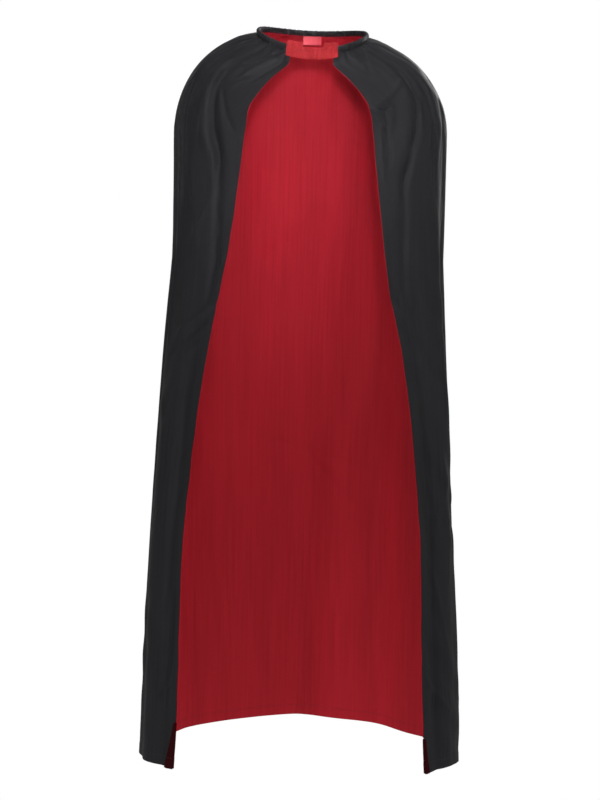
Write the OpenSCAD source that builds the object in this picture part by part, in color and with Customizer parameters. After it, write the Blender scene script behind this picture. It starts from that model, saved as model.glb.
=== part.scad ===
// Full-length lined costume cape, worn closed at the neck and open down the front. Millimetres.
// +Z is up, the wearer faces -Y and the wearer's left is +X. The origin is the centre of the neck opening.

/* [Neckband] */
// Inside radius of the neck opening
neck_r = 86; // [80:1:92]
// Height of the neckband
band_h = 9; // [8:0.5:14]
// Radial thickness of the folded casing
band_t = 5; // [5:0.5:6]
// Forward tilt of the neckband, degrees
neck_tilt = 14; // [8:0.5:18]
// Turn from the front centre to each end of the neckband, degrees
band_end = 20.3; // [16:0.1:24]

/* [Shoulders] */
// Half-width of the cape below the shoulders
shoulder_half_w = 223; // [210:1:235]
// Height of the shoulder line over the neck's centre
shoulder_rise = 0; // [-2:1:5]
// Drop from the shoulder line to where the side hangs straight
shoulder_drop = 155; // [130:5:180]
// How far the back reaches out behind the neckband
back_reach = 41; // [30:1:55]
// Drop over which the back turns down from the neckband
back_drop = 135; // [110:5:160]

/* [Fall of the cloth] */
// Depth of the back hem below the neck's centre
hem_depth = 1180; // [1000:10:1250]
// How much lower the hem sits at the sides
side_sag = 20; // [0:5:30]
// Depth where the sides begin to flare
flare_depth = 360; // [300:10:420]
// Slope of the flared sides, degrees
side_flare = 3.15; // [1:0.05:5]
// How much farther back the back hem is than the shoulder blades
back_flare = 42; // [20:1:70]
// Thickness of one layer of satin as modelled
cloth_t = 0.8; // [0.6:0.1:1]

/* [Closure] */
// Height of the strap's sewn ends
strap_h = 27; // [24:1:28]
// How much lower the strap's middle stretch is than its ends
strap_dip = 8; // [5:1:10]
// How far the strap's middle hangs below the neckband's middle
strap_drop = 6; // [3:1:7]
// Thickness of each tab and tape
tape_t = 0.7; // [0.5:0.1:0.8]
// Turn from the front centre to the sewn end of each tab, degrees
strap_end = 27; // [25:0.5:28]
// Turn from the front centre to the inner end of the hook tab's full-height part, degrees
hook_step = 9.5; // [8:0.5:11]
// Turn from the front centre to the inner end of the loop tab's full-height part, degrees
loop_step = 8; // [7:0.5:10]
// Turn from the front centre to the hook tab's free end, degrees
hook_tab_end = 13; // [11:0.1:16]
// Turn from the front centre to the loop tab's free end, degrees
loop_tab_end = 14; // [8:0.1:16]

/* [Small parts] */
// Width of the blank neck label
label_w = 30; // [20:1:50]
// Height of the neck label
label_h = 14; // [10:1:20]
// Distance from the hem to its row of stitches
hem_turn = 15; // [10:1:25]
// Thickness of the sewing thread as modelled
thread_t = 0.6; // [0.4:0.1:0.8]

/* [Hidden] */
$fn = 96;
fit_gap = 0.1;
moving_gap = 0.3;
layer_gap = 0.1;
casing_t = 0.8;
seam_gap = 1.5;
shoulder_share = 0.183;
gather_share = 0.03;
shoulder_power = 2.05;
tuck_depth = 4;
cloth_neck_r = neck_r + band_t / 2;
cloth_neck_z = -band_h / 2 - 1.3;
band_outer_r = neck_r + band_t;
band_bottom = -band_h / 2;
strap_bottom = -strap_h / 2 - strap_drop;
tab_r = band_outer_r + 3 * fit_gap;
chest_share = 0.345;
cut_gap_share = 0.002;
back_columns = 26;
front_columns = 9;
chest_rows = 14;
lower_rows = 18;
back_rows = 32;
shell_colour = [0.10, 0.10, 0.11];
lining_colour = [0.62, 0.10, 0.14];
strap_colour = [0.75, 0.15, 0.18];
thread_colour = [0.05, 0.05, 0.06];

// Free front edge of the wearer's left panel, by depth below the neck's centre
neck_edge = on_band(cloth_neck_r, band_end + 1, cloth_neck_z);
edge_opening = [
    [-neck_edge[2], neck_edge[0]], [45, 33], [70, 55], [95, 77], [120, 93], [145, 102], [210, 110],
    [350, 128], [470, 149], [590, 168], [710, 182], [830, 192], [1080, 200], [1180, 206]
];
edge_forward = [
    [-neck_edge[2], -neck_edge[1]], [45, 74], [70, 81], [120, 101], [145, 108], [210, 115], [590, 122],
    [1180, 130]
];

// Smooth curve through [position, value] knots
function clamp_to(x, low, high) = min(max(x, low), high);
function ease(t) = let (s = clamp_to(t, 0, 1)) 3 * s ^ 2 - 2 * s ^ 3;
function span_at(knots, t, i = 0) =
    i >= len(knots) - 2 || t < knots[i + 1][0] ? i : span_at(knots, t, i + 1);
function slope_at(knots, i) =
    let (low = max(i - 1, 0), high = min(i + 1, len(knots) - 1))
    (knots[high][1] - knots[low][1]) / (knots[high][0] - knots[low][0]);
function curve(knots, t) =
    let (
        i = span_at(knots, t),
        width = knots[i + 1][0] - knots[i][0],
        s = clamp_to((t - knots[i][0]) / width, 0, 1),
        rise = knots[i + 1][1] - knots[i][1]
    )
    knots[i][1] + rise * ease(s)
    + width * (slope_at(knots, i) * (s - 2 * s ^ 2 + s ^ 3) + slope_at(knots, i + 1) * (s ^ 3 - s ^ 2));

// Point on the tilted neckband: radius, turn from the front centre towards the wearer's left, height
function tilted(p) =
    [p[0], p[1] * cos(neck_tilt) - p[2] * sin(neck_tilt), p[1] * sin(neck_tilt) + p[2] * cos(neck_tilt)];
function on_band(r, turn, z) = tilted([r * sin(turn), -r * cos(turn), z]);

// The cloth: v runs from the neckband (0) to the hem (1) along the sides, the back and the free edge
function arc_out(v) = sin(90 * min(v / shoulder_share, 1)) ^ (2 / shoulder_power);
function arc_down(v) = 1 - max(cos(90 * min(v / shoulder_share, 1)), 0) ^ (2 / shoulder_power);
function hang_share(v) = max(v - shoulder_share, 0) / (1 - shoulder_share);
function neck_side_z() = on_band(cloth_neck_r, 90, cloth_neck_z)[2];
function neck_side_y() = on_band(cloth_neck_r, 90, cloth_neck_z)[1];
function neck_back() = on_band(cloth_neck_r, 180, cloth_neck_z);

function side_z(v) =
    shoulder_rise - shoulder_drop * arc_down(v)
    - (hem_depth + side_sag + shoulder_rise - shoulder_drop) * hang_share(v)
    - (shoulder_rise - neck_side_z()) * (1 - ease(v / gather_share));
function side_x(v) =
    cloth_neck_r + (shoulder_half_w - cloth_neck_r) * arc_out(v)
    + max(-side_z(v) - flare_depth, 0) * tan(side_flare);
function side_y(v) = neck_side_y() * max(1 - v / 0.1, 0);
function back_y(v) = neck_back()[1] + back_reach * arc_out(v) + back_flare * hang_share(v);
function back_z(v) =
    neck_back()[2] - back_drop * arc_down(v)
    - (hem_depth + neck_back()[2] - back_drop) * hang_share(v);
function edge_depth(v) = -neck_edge[2] + (hem_depth + neck_edge[2]) * v ^ 1.15;
function edge_x(v) = curve(edge_opening, edge_depth(v));
function edge_y(v) = -curve(edge_forward, edge_depth(v));
function ring_power(v) = 2 - 0.2 * v;
function level_power(v) = 1 + min(v / 0.1, 1);

// Back panel: turn is counted from the back centre, positive towards the wearer's left
function back_point(turn, v) =
    let (power = 2 / ring_power(v), side = abs(sin(turn)), rear = cos(turn))
    [
        sign(turn) * side_x(v) * side ^ power,
        side_y(v) + (back_y(v) - side_y(v)) * rear ^ power,
        side_z(v) + (back_z(v) - side_z(v)) * rear ^ level_power(v)
    ];
function back_limit(v) = acos((seam_gap / back_y(v)) ^ (ring_power(v) / 2));

// Front panel on the wearer's left: turn is counted from the front centre
function edge_turn(v) = asin((edge_x(v) / side_x(v)) ^ (ring_power(v) / 2));
function front_reach(v) = (side_y(v) - edge_y(v)) / cos(edge_turn(v)) ^ (2 / ring_power(v));
function front_point(turn, v) =
    let (power = 2 / ring_power(v))
    [
        side_x(v) * sin(turn) ^ power,
        side_y(v) - front_reach(v) * cos(turn) ^ power,
        side_z(v) - (side_z(v) + edge_depth(v)) * (cos(turn) / cos(edge_turn(v))) ^ level_power(v)
    ];
function front_limit(v) = acos((seam_gap / front_reach(v)) ^ (ring_power(v) / 2));

function back_at(u, v) = back_point((2 * u - 1) * back_limit(v), v);
function front_at(u, v) = front_point(front_limit(v) + (edge_turn(v) - front_limit(v)) * u, v);

// Unit normal of a panel, pointing out of the cape
function unit(p) = p / norm(p);
function normal_at(at, u, v, outward) =
    let (
        du = at(min(u + 0.01, 1), v) - at(max(u - 0.01, 0), v),
        dv = v < 0 ? at(u, 0) - at(u, v) : at(u, min(v + 0.002, 1)) - at(u, v - 0.002)
    )
    outward * unit(cross(du, dv));

// Share of the way down for each row, closer together over the shoulders
function rows_between(from, to, count) =
    [for (i = [0:count]) from + (to - from) * (i / count) ^ (from < shoulder_share ? 1.5 : 1)];

// Sheet of cloth between two distances from the panel's middle surface
module sheet(at, outward, shares, columns, inner, outer) {
    rows = len(shares);
    wide = columns + 1;
    layer = rows * wide;
    points = [
        for (distance = [inner, outer], v = shares, c = [0:columns])
            at(c / columns, v) + distance * normal_at(at, c / columns, v, outward)
    ];
    skin = [
        for (r = [0:rows - 2], c = [0:columns - 1])
            let (a = r * wide + c, b = a + 1, d = a + wide, e = d + 1)
            each [[a, b, e], [a, e, d]]
    ];
    rim = concat(
        [for (c = [0:columns - 1]) [c, c + 1]],
        [for (r = [0:rows - 2]) [r * wide + columns, (r + 1) * wide + columns]],
        [for (c = [columns:-1:1]) [(rows - 1) * wide + c, (rows - 1) * wide + c - 1]],
        [for (r = [rows - 1:-1:1]) [r * wide, (r - 1) * wide]]
    );
    lower = [for (f = skin) outward > 0 ? [f[0], f[1], f[2]] : [f[2], f[1], f[0]]];
    upper = [for (f = skin) outward > 0 ? [f[2], f[1], f[0]] + [layer, layer, layer] : f + [layer, layer, layer]];
    sides = [
        for (e = rim)
            let (quad = outward > 0
                ? [e[1], e[0], e[0] + layer, e[1] + layer]
                : [e[0], e[1], e[1] + layer, e[0] + layer])
            each [[quad[0], quad[1], quad[2]], [quad[0], quad[2], quad[3]]]
    ];
    polyhedron(points, concat(lower, upper, sides), convexity = 8);
}

// Square thread along a path of points; two of its sides stay square to the given direction
module thread(path, level) {
    half = thread_t / 2;
    count = len(path);
    points = [
        for (i = [0:count - 1])
            let (
                ahead = unit(path[min(i + 1, count - 1)] - path[max(i - 1, 0)]),
                across = unit(cross(ahead, level)),
                up = cross(across, ahead)
            )
            for (corner = [[-1, -1], [1, -1], [1, 1], [-1, 1]])
                path[i] + half * (corner[0] * across + corner[1] * up)
    ];
    walls = [
        for (i = [0:count - 2], k = [0:3])
            let (a = 4 * i + k, b = 4 * i + (k + 1) % 4)
            each [[a, b, b + 4], [a, b + 4, a + 4]]
    ];
    last = 4 * (count - 1);
    caps = [[0, 2, 1], [0, 3, 2], [last, last + 1, last + 2], [last, last + 2, last + 3]];
    polyhedron(points, [for (f = concat(walls, caps)) [f[2], f[1], f[0]]], convexity = 8);
}

// Strip bent round the neck axis; turns are counted from the front centre towards the wearer's left
module arc_strip(r_in, r_out, z_low, z_high, from, to) {
    rotate([neck_tilt, 0, 0])
        rotate([0, 0, from - 90])
            rotate_extrude(angle = to - from)
                translate([r_in, z_low])
                    square([r_out - r_in, z_high - z_low]);
}

module neckband() {
    color(shell_colour) {
        rotate([neck_tilt, 0, 0])
            rotate([0, 0, band_end - 90])
                rotate_extrude(angle = 360 - 2 * band_end)
                    difference() {
                        translate([neck_r, band_bottom])
                            square([band_t, band_h]);
                        translate([neck_r + casing_t, band_bottom - 1])
                            square([band_t - 2 * casing_t, band_h + 1 - casing_t]);
                    }
    }
}

module neckband_stay() {
    color("white")
        arc_strip(
            neck_r + casing_t + 3 * fit_gap, band_outer_r - casing_t - 3 * fit_gap,
            band_bottom + tuck_depth + 2 * fit_gap, band_h / 2 - casing_t - 3 * fit_gap, band_end + 1, 359 - band_end
        );
}

module neckband_stitching() {
    stitch_z = band_bottom + 1.5;
    color(thread_colour)
        arc_strip(
            band_outer_r, band_outer_r + thread_t / 2, stitch_z, stitch_z + thread_t,
            strap_end + 2, 358 - strap_end
        );
}

// The cloth's top edge is tucked up into the neckband's casing
function tuck(p, v) = p + (v < 0 ? tuck_depth : 0) * [0, -sin(neck_tilt), cos(neck_tilt)];
back_cloth = function(u, v) tuck(back_at(u, max(v, 0)), v);
front_cloth = function(u, v) tuck(front_at(u, max(v, 0)), v);
back_shares = concat([-0.01], rows_between(0, 1, back_rows));
chest_shares = concat([-0.01], rows_between(0, chest_share - cut_gap_share, chest_rows));
lower_shares = rows_between(chest_share + cut_gap_share, 1, lower_rows);

module shell_back() {
    color(shell_colour)
        sheet(back_cloth, -1, back_shares, back_columns, layer_gap / 2, cloth_t);
}

module lining_back() {
    color(lining_colour)
        sheet(back_cloth, -1, back_shares, back_columns, -cloth_t, -layer_gap / 2);
}

module front_panel(shares, inner, outer) {
    sheet(front_cloth, 1, shares, front_columns, inner, outer);
}

module on_right() {
    mirror([1, 0, 0])
        children();
}

module shell_chest_left() {
    color(shell_colour)
        front_panel(chest_shares, layer_gap / 2, cloth_t);
}

module shell_chest_right() {
    color(shell_colour)
        on_right()
            front_panel(chest_shares, layer_gap / 2, cloth_t);
}

module lining_chest_left() {
    color(lining_colour)
        front_panel(chest_shares, -cloth_t, -layer_gap / 2);
}

module lining_chest_right() {
    color(lining_colour)
        on_right()
            front_panel(chest_shares, -cloth_t, -layer_gap / 2);
}

module shell_front_left() {
    color(shell_colour)
        front_panel(lower_shares, layer_gap / 2, cloth_t);
}

module shell_front_right() {
    color(shell_colour)
        on_right()
            front_panel(lower_shares, layer_gap / 2, cloth_t);
}

module lining_front_left() {
    color(lining_colour)
        front_panel(lower_shares, -cloth_t, -layer_gap / 2);
}

module lining_front_right() {
    color(lining_colour)
        on_right()
            front_panel(lower_shares, -cloth_t, -layer_gap / 2);
}

// The seams that join the fronts to the back run over the shoulders and down the sides
module side_seam_left() {
    color(thread_colour)
        thread([for (v = rows_between(0.004, 1, back_rows)) [side_x(v), side_y(v), side_z(v)]], [0, 1, 0]);
}

module side_seam_right() {
    color(thread_colour)
        on_right()
            thread([for (v = rows_between(0.004, 1, back_rows)) [side_x(v), side_y(v), side_z(v)]], [0, 1, 0]);
}

hem_share = 1 - hem_turn / hem_depth;
module hem_thread(at, outward, columns) {
    path = [
        for (c = [0:columns])
            let (u = 0.01 + 0.98 * c / columns)
            at(u, hem_share) + (cloth_t + thread_t) * normal_at(at, u, hem_share, outward)
    ];
    thread(path, [0, 0, 1]);
}

module hem_stitching_back() {
    color(thread_colour)
        hem_thread(back_cloth, -1, back_columns);
}

module hem_stitching_left() {
    color(thread_colour)
        hem_thread(front_cloth, 1, front_columns);
}

module hem_stitching_right() {
    color(thread_colour)
        on_right()
            hem_thread(front_cloth, 1, front_columns);
}

// Closure, from the neckband outwards: loop tab, loop tape, hook tape, hook tab
loop_tape_r = tab_r + tape_t;
hook_tape_r = loop_tape_r + tape_t + moving_gap;
hook_tab_r = hook_tape_r + tape_t;
strap_top = strap_bottom + strap_h;
dip_top = strap_top - strap_dip;
flap_turn = -band_end - 0.6;

module hook_tab_base() {
    color(strap_colour)
        arc_strip(tab_r, tab_r + tape_t, strap_bottom, strap_top, -strap_end, -band_end - 1.2);
}

module hook_tab() {
    color(strap_colour)
        difference() {
            arc_strip(hook_tab_r, hook_tab_r + tape_t, strap_bottom, strap_top, flap_turn, hook_tab_end);
            arc_strip(hook_tab_r - 1, hook_tab_r + 2, dip_top, strap_top + 1, -hook_step, hook_tab_end + 2);
        }
}

module hook_tape() {
    color(strap_colour)
        arc_strip(
            hook_tape_r, hook_tab_r, strap_bottom + 1, dip_top - 1, -loop_tab_end + 1, hook_tab_end - 1
        );
}

module loop_tab() {
    color(strap_colour)
        difference() {
            arc_strip(tab_r, loop_tape_r, strap_bottom, strap_top, -loop_tab_end, strap_end);
            arc_strip(tab_r - 1, loop_tape_r + 1, dip_top, strap_top + 1, -loop_tab_end - 2, loop_step);
        }
}

module loop_tape() {
    color(strap_colour)
        arc_strip(
            loop_tape_r, loop_tape_r + tape_t, strap_bottom + 1, dip_top - 1,
            -loop_tab_end + 1, hook_tab_end
        );
}

// Rectangle of stitches that holds the sewn end of a tab
module box_stitching(from, to) {
    r_in = tab_r + tape_t;
    r_out = r_in + thread_t / 2;
    low = strap_bottom + 2;
    high = strap_top - 2;
    row_turn = 0.4;
    difference() {
        arc_strip(r_in, r_out, low, high, from, to);
        arc_strip(r_in - 1, r_out + 1, low + thread_t, high - thread_t, from + row_turn, to - row_turn);
    }
}

module hook_tab_stitching() {
    color(strap_colour)
        box_stitching(-strap_end + 1, -band_end - 2.2);
}

module loop_tab_stitching() {
    color(strap_colour)
        box_stitching(band_end + 1.2, strap_end - 1);
}

// The label hangs inside the back of the neck from the neckband's lower edge
label_t = 1;
label_y = 83.4;
label_top = 15.6;
module neck_label() {
    color(strap_colour)
        translate([-label_w / 2, label_y - label_t, label_top - label_h])
            cube([label_w, label_t, label_h]);
}

neckband();
neckband_stay();
neckband_stitching();
shell_back();
lining_back();
shell_chest_left();
shell_chest_right();
lining_chest_left();
lining_chest_right();
shell_front_left();
shell_front_right();
lining_front_left();
lining_front_right();
side_seam_left();
side_seam_right();
hem_stitching_back();
hem_stitching_left();
hem_stitching_right();
hook_tab_base();
hook_tab();
hook_tape();
loop_tab();
loop_tape();
hook_tab_stitching();
loop_tab_stitching();
neck_label();
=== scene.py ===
"""A full-length lined costume cape: black satin outside, red satin inside, and a red strap at the throat.

Lengths are metres. The wearer faces -Y and the wearer's left is +X.
The origin is the centre of the neck opening.
"""

from __future__ import annotations

import logging
import math
from dataclasses import dataclass, field, replace
from enum import Enum

import bpy
import numpy as np
from mathutils import Euler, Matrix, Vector

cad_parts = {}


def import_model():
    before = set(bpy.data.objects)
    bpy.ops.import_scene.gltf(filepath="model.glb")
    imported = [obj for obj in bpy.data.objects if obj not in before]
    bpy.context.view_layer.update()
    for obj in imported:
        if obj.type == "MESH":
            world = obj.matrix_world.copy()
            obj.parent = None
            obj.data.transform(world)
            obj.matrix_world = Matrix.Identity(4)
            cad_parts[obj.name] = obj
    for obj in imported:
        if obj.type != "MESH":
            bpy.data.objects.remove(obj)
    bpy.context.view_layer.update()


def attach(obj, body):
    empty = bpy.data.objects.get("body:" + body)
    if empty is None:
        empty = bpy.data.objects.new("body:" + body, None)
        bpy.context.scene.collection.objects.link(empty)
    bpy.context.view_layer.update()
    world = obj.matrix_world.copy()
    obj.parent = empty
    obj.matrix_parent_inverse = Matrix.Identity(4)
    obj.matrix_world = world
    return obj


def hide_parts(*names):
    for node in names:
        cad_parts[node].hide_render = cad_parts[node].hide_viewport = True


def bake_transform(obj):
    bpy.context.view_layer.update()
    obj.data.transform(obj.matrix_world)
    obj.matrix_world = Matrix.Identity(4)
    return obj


log = logging.getLogger("cape")
Array = np.ndarray

CASING = "neckband_casing"
CLOTH_UV = "Cloth"
# attribute that marks the rolled-over front corners, where the satin's colour is darkened as painted shade
TURNED = "Turned"
WHITE = (1.0, 1.0, 1.0, 1.0)
HEM_STITCHES = 0.0165  # from the hem up to its row of stitches
BAND_STITCHES = -0.0028  # height of the neckband's row of stitches, from the middle of the band


class Side(Enum):
    """Which of the wearer's sides a piece is on."""

    LEFT = 1
    RIGHT = -1

    @property
    def label(self) -> str:
        """Name used in piece and body names."""
        return self.name.lower()


# ---------------------------------------------------------------- small mathematics


def ease(t: Array) -> Array:
    """Smooth step from 0 to 1 as t goes from 0 to 1."""
    s = np.clip(t, 0.0, 1.0)
    return s * s * (3.0 - 2.0 * s)


def window(t: Array, low: float, high: float, fade: float) -> Array:
    """Window that is 1 between low and high and fades to 0 outside.

    Args:
        t: positions to test.
        low: start of the full window.
        high: end of the full window.
        fade: distance over which the window fades at each end.

    Returns:
        Weights from 0 to 1.
    """
    return ease((t - low + fade) / fade) * ease((high + fade - t) / fade)


def smooth_curve(knots: list[tuple[float, float]], t: Array) -> Array:
    """Smooth curve through given knots.

    Args:
        knots: pairs of position and value, in rising position.
        t: positions to read the curve at.

    Returns:
        The curve's values.
    """
    where = np.array([k[0] for k in knots])
    value = np.array([k[1] for k in knots])
    last = len(knots) - 1
    low = np.maximum(np.arange(last + 1) - 1, 0)
    high = np.minimum(np.arange(last + 1) + 1, last)
    slope = (value[high] - value[low]) / (where[high] - where[low])
    i = np.clip(np.searchsorted(where, t, side="right") - 1, 0, last - 1)
    width = where[i + 1] - where[i]
    s = np.clip((t - where[i]) / width, 0.0, 1.0)
    ends = slope[i] * (s - 2 * s**2 + s**3) + slope[i + 1] * (s**3 - s**2)
    return value[i] + (value[i + 1] - value[i]) * ease(s) + width * ends


def ripple(t: Array, wavelengths: list[float], seed: int) -> Array:
    """Sum of sine waves with seeded phases, scaled to about -1 to 1.

    Args:
        t: positions along the wave.
        wavelengths: wavelength of each wave.
        seed: seed of the phases.

    Returns:
        Wave heights.
    """
    phases = np.random.default_rng(seed).uniform(0, 2 * math.pi, len(wavelengths))
    waves = [np.sin(2 * math.pi * t / w + p) for w, p in zip(wavelengths, phases)]
    return sum(waves) / math.sqrt(len(waves))


def grid_normals(points: Array) -> Array:
    """Unit normals of a grid of points.

    Args:
        points: array of rows x columns x 3.

    Returns:
        Unit normals, along rows cross columns.
    """
    down = np.gradient(points, axis=0)
    along = np.gradient(points, axis=1)
    normal = np.cross(down, along)
    return normal / np.maximum(np.linalg.norm(normal, axis=2, keepdims=True), 1e-12)


# ---------------------------------------------------------------- the form of the cape


@dataclass(frozen=True)
class NeckRing:
    """The line that the neckband follows: a tilted circle, bent so that it dips at front and back."""

    inner_radius: float = 0.086
    thickness: float = 0.005
    height: float = 0.009
    tilt: float = math.radians(14.0)
    end_turn: float = math.radians(20.3)
    dip: float = 0.0068
    lean: float = 0.0022

    @property
    def middle_radius(self) -> float:
        """Radius of the middle of the casing."""
        return self.inner_radius + self.thickness / 2

    def place(self, radius: Array, turn: Array, height: Array, bent: float = 1.0) -> Array:
        """Point by cylinder coordinates round the neck.

        Args:
            radius: distance from the neck's axis.
            turn: angle from the front centre towards the wearer's left.
            height: height over the ring's plane.
            bent: share of the ring's bend to follow.

        Returns:
            Points, with x, y and z in the last axis.
        """
        x = radius * np.sin(turn)
        y = -radius * np.cos(turn)
        sine, cosine = math.sin(self.tilt), math.cos(self.tilt)
        bend = -(self.dip * np.cos(2 * turn) + self.lean * np.sin(turn)) * bent
        forward, up = y * cosine - height * sine, y * sine + height * cosine + bend
        return np.stack(np.broadcast_arrays(x, forward, up), axis=-1)


@dataclass(frozen=True)
class Fold:
    """A ridge or valley in the cloth along a straight line on the panel.

    The line's ends are given as the share across the panel and the share down it. A crease is sharper than a
    soft fold, and a steep one falls away faster on the side towards the free edge.
    """

    start: tuple[float, float]
    end: tuple[float, float]
    width: float
    height: float
    crease: bool = False
    steep: float = 1.0

    def relief(self, across: Array, down: Array, breadth: Array, length: float) -> Array:
        """Height of the fold over the panel.

        Args:
            across: share across the panel at each point.
            down: share down the panel at each point.
            breadth: width of the panel at each point.
            length: length of the panel.

        Returns:
            Displacement outwards at each point.
        """
        middle = float(np.mean(breadth))
        a = np.array([self.start[0] * middle, self.start[1] * length])
        b = np.array([self.end[0] * middle, self.end[1] * length])
        run = b - a
        reach = float(np.hypot(*run))
        dx = across * middle - a[0]
        dy = down * length - a[1]
        t = (dx * run[0] + dy * run[1]) / reach**2
        off = (dx * run[1] - dy * run[0]) / reach
        stretch = np.where(off > 0, 1.0, self.steep) * np.clip(breadth / middle, 0.6, 2.0)
        off = np.abs(off * stretch) / self.width
        profile = np.exp(-np.sqrt(off**2 + 0.04) * 1.5 + 0.3) if self.crease else np.exp(-(off**2))
        return self.height * profile * window(t, 0.22, 0.78, 0.3)


def scattered(count: int, seed: int, reach: float = 0.07, height: float = 0.0012) -> list[Fold]:
    """Small wrinkles strewn over a panel, mostly along it, as in cloth that has been folded and shaken out.

    Args:
        count: number of wrinkles.
        seed: seed of their places.
        reach: usual length as a share of the panel's length.
        height: usual height.

    Returns:
        The wrinkles.
    """
    rng = np.random.default_rng(seed)
    folds = []
    for _ in range(count):
        u, v = rng.uniform(0.05, 0.95), rng.uniform(0.05, 0.97)
        du = rng.normal(0, 0.09)
        dv = reach * rng.uniform(0.3, 1.2)
        width, rise = rng.uniform(0.005, 0.011), height * rng.uniform(-1.2, 1.2)
        crease = bool(rng.uniform() < 0.4)
        folds.append(Fold((u - du, v - dv), (u + du, v + dv), width, rise, crease))
    return folds


@dataclass(frozen=True)
class CapeForm:
    """The cape's middle surface, without folds.

    It falls from the neckband over the shoulders and then straight down, with the sides flaring below
    flare_depth. The shares are shares of the way from the neckband to the hem. Sway, slump and spread are
    small departures from a cape that hangs evenly.
    """

    ring: NeckRing = NeckRing()
    cloth_radius: float = 0.0885
    cloth_height: float = -0.0058
    tuck: float = 0.004
    shoulder_half_width: float = 0.223
    shoulder_drop: float = 0.155
    shoulder_share: float = 0.183
    shoulder_power: float = 2.05
    gather_share: float = 0.03
    back_reach: float = 0.041
    back_round: float = 1.6
    back_drop: float = 0.135
    back_flare: float = 0.042
    hem_depth: float = 1.18
    side_sag: float = 0.02
    flare_depth: float = 0.36
    side_flare: float = math.radians(3.15)
    belly: float = 0.0035
    sway: float = 0.0036
    seam_hold: float = 0.5
    left_slump: float = 0.0085
    right_slump: float = 0.0035
    edge_drop: float = 0.010
    spread_high: float = 0.0
    spread_low: float = 0.0
    length: float = 1.245

    def neck_point(self, turn: float) -> Array:
        """Point where the cloth enters the neckband, on the unbent ring."""
        return self.ring.place(self.cloth_radius, turn, self.cloth_height, bent=0.0)

    @property
    def edge_turn(self) -> float:
        """Turn from the front centre to the cloth's free edge at the neckband."""
        return self.ring.end_turn + math.radians(1.0)

    def edge_opening(self) -> list[tuple[float, float]]:
        """Half-opening of the front, by depth below the neck.

        Returns:
            Pairs of depth and half-opening.
        """
        start = self.neck_point(self.edge_turn)
        return [
            (-start[2], start[0]), (0.045, 0.0305), (0.056, 0.0405), (0.07, 0.055), (0.095, 0.077),
            (0.12, 0.093), (0.145, 0.102), (0.21, 0.110), (0.35, 0.128), (0.47, 0.149), (0.59, 0.168),
            (0.71, 0.182), (0.83, 0.192), (1.08, 0.200), (1.18, 0.206),
        ]

    def edge_forward(self) -> list[tuple[float, float]]:
        """How far forward the front edge hangs, by depth below the neck.

        Returns:
            Pairs of depth and distance forward.
        """
        start = self.neck_point(self.edge_turn)
        return [
            (-start[2], -start[1]), (0.045, 0.074), (0.07, 0.081), (0.12, 0.101), (0.145, 0.108),
            (0.21, 0.115), (0.59, 0.122), (1.18, 0.130),
        ]

    def shoulder_out(self, v: Array) -> Array:
        """Share of the way out over the shoulder."""
        turn = np.minimum(v / self.shoulder_share, 1.0) * math.pi / 2
        return np.sin(turn) ** (2 / self.shoulder_power)

    def shoulder_down(self, v: Array) -> Array:
        """Share of the drop over the shoulder."""
        turn = np.minimum(v / self.shoulder_share, 1.0) * math.pi / 2
        return 1 - np.maximum(np.cos(turn), 0.0) ** (2 / self.shoulder_power)

    def hang(self, v: Array) -> Array:
        """Share of the way down the straight fall."""
        return np.maximum(v - self.shoulder_share, 0.0) / (1 - self.shoulder_share)

    def side(self, v: Array) -> tuple[Array, Array, Array]:
        """Half-width, depth in Y and height of the side line.

        Args:
            v: share down the panel.

        Returns:
            Half-width, depth and height at each share.
        """
        start = self.neck_point(math.pi / 2)
        drop = self.hem_depth + self.side_sag - self.shoulder_drop
        z = -self.shoulder_drop * self.shoulder_down(v) - drop * self.hang(v)
        z = z + start[2] * (1 - ease(v / self.gather_share))
        x = self.cloth_radius + (self.shoulder_half_width - self.cloth_radius) * self.shoulder_out(v)
        fall = np.maximum(-z - self.flare_depth, 0.0)
        x = x + fall * math.tan(self.side_flare) + self.belly * np.sin(np.minimum(fall / 0.86, 1.0) * math.pi)
        return x, start[1] * np.maximum(1 - v / 0.1, 0.0), z

    def back(self, v: Array) -> tuple[Array, Array]:
        """Depth in Y and height of the back's middle line.

        Args:
            v: share down the panel.

        Returns:
            Depth and height at each share.
        """
        start = self.neck_point(math.pi)
        y = start[1] + self.back_reach * self.shoulder_out(v) ** self.back_round
        y = y + self.back_flare * self.hang(v)
        fall = self.hem_depth + start[2] - self.back_drop
        return y, start[2] - self.back_drop * self.shoulder_down(v) - fall * self.hang(v)

    def edge(self, v: Array) -> tuple[Array, Array, Array]:
        """Half-opening, depth in Y and height of the free front edge.

        Args:
            v: share down the panel.

        Returns:
            Half-opening, depth and height at each share.
        """
        top = -self.neck_point(self.edge_turn)[2]
        depth = top + (self.hem_depth - top) * np.maximum(v, 0.0) ** 1.15
        x = smooth_curve(self.edge_opening(), depth)
        x = x + self.spread_high * window(depth, 0.05, 0.11, 0.04)
        x = x + self.spread_low * window(depth, 0.17, 0.40, 0.1)
        drop = self.edge_drop * np.maximum(v, 0.0) ** 6
        return x, -smooth_curve(self.edge_forward(), depth), -depth - drop

    def bend(self, turn: Array, v: Array) -> Array:
        """Lift of the cloth where the neckband's bend carries it, fading down the shoulders."""
        return -self.ring.dip * np.cos(2 * turn) * np.maximum(1 - v / 0.12, 0.0) ** 2

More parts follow.
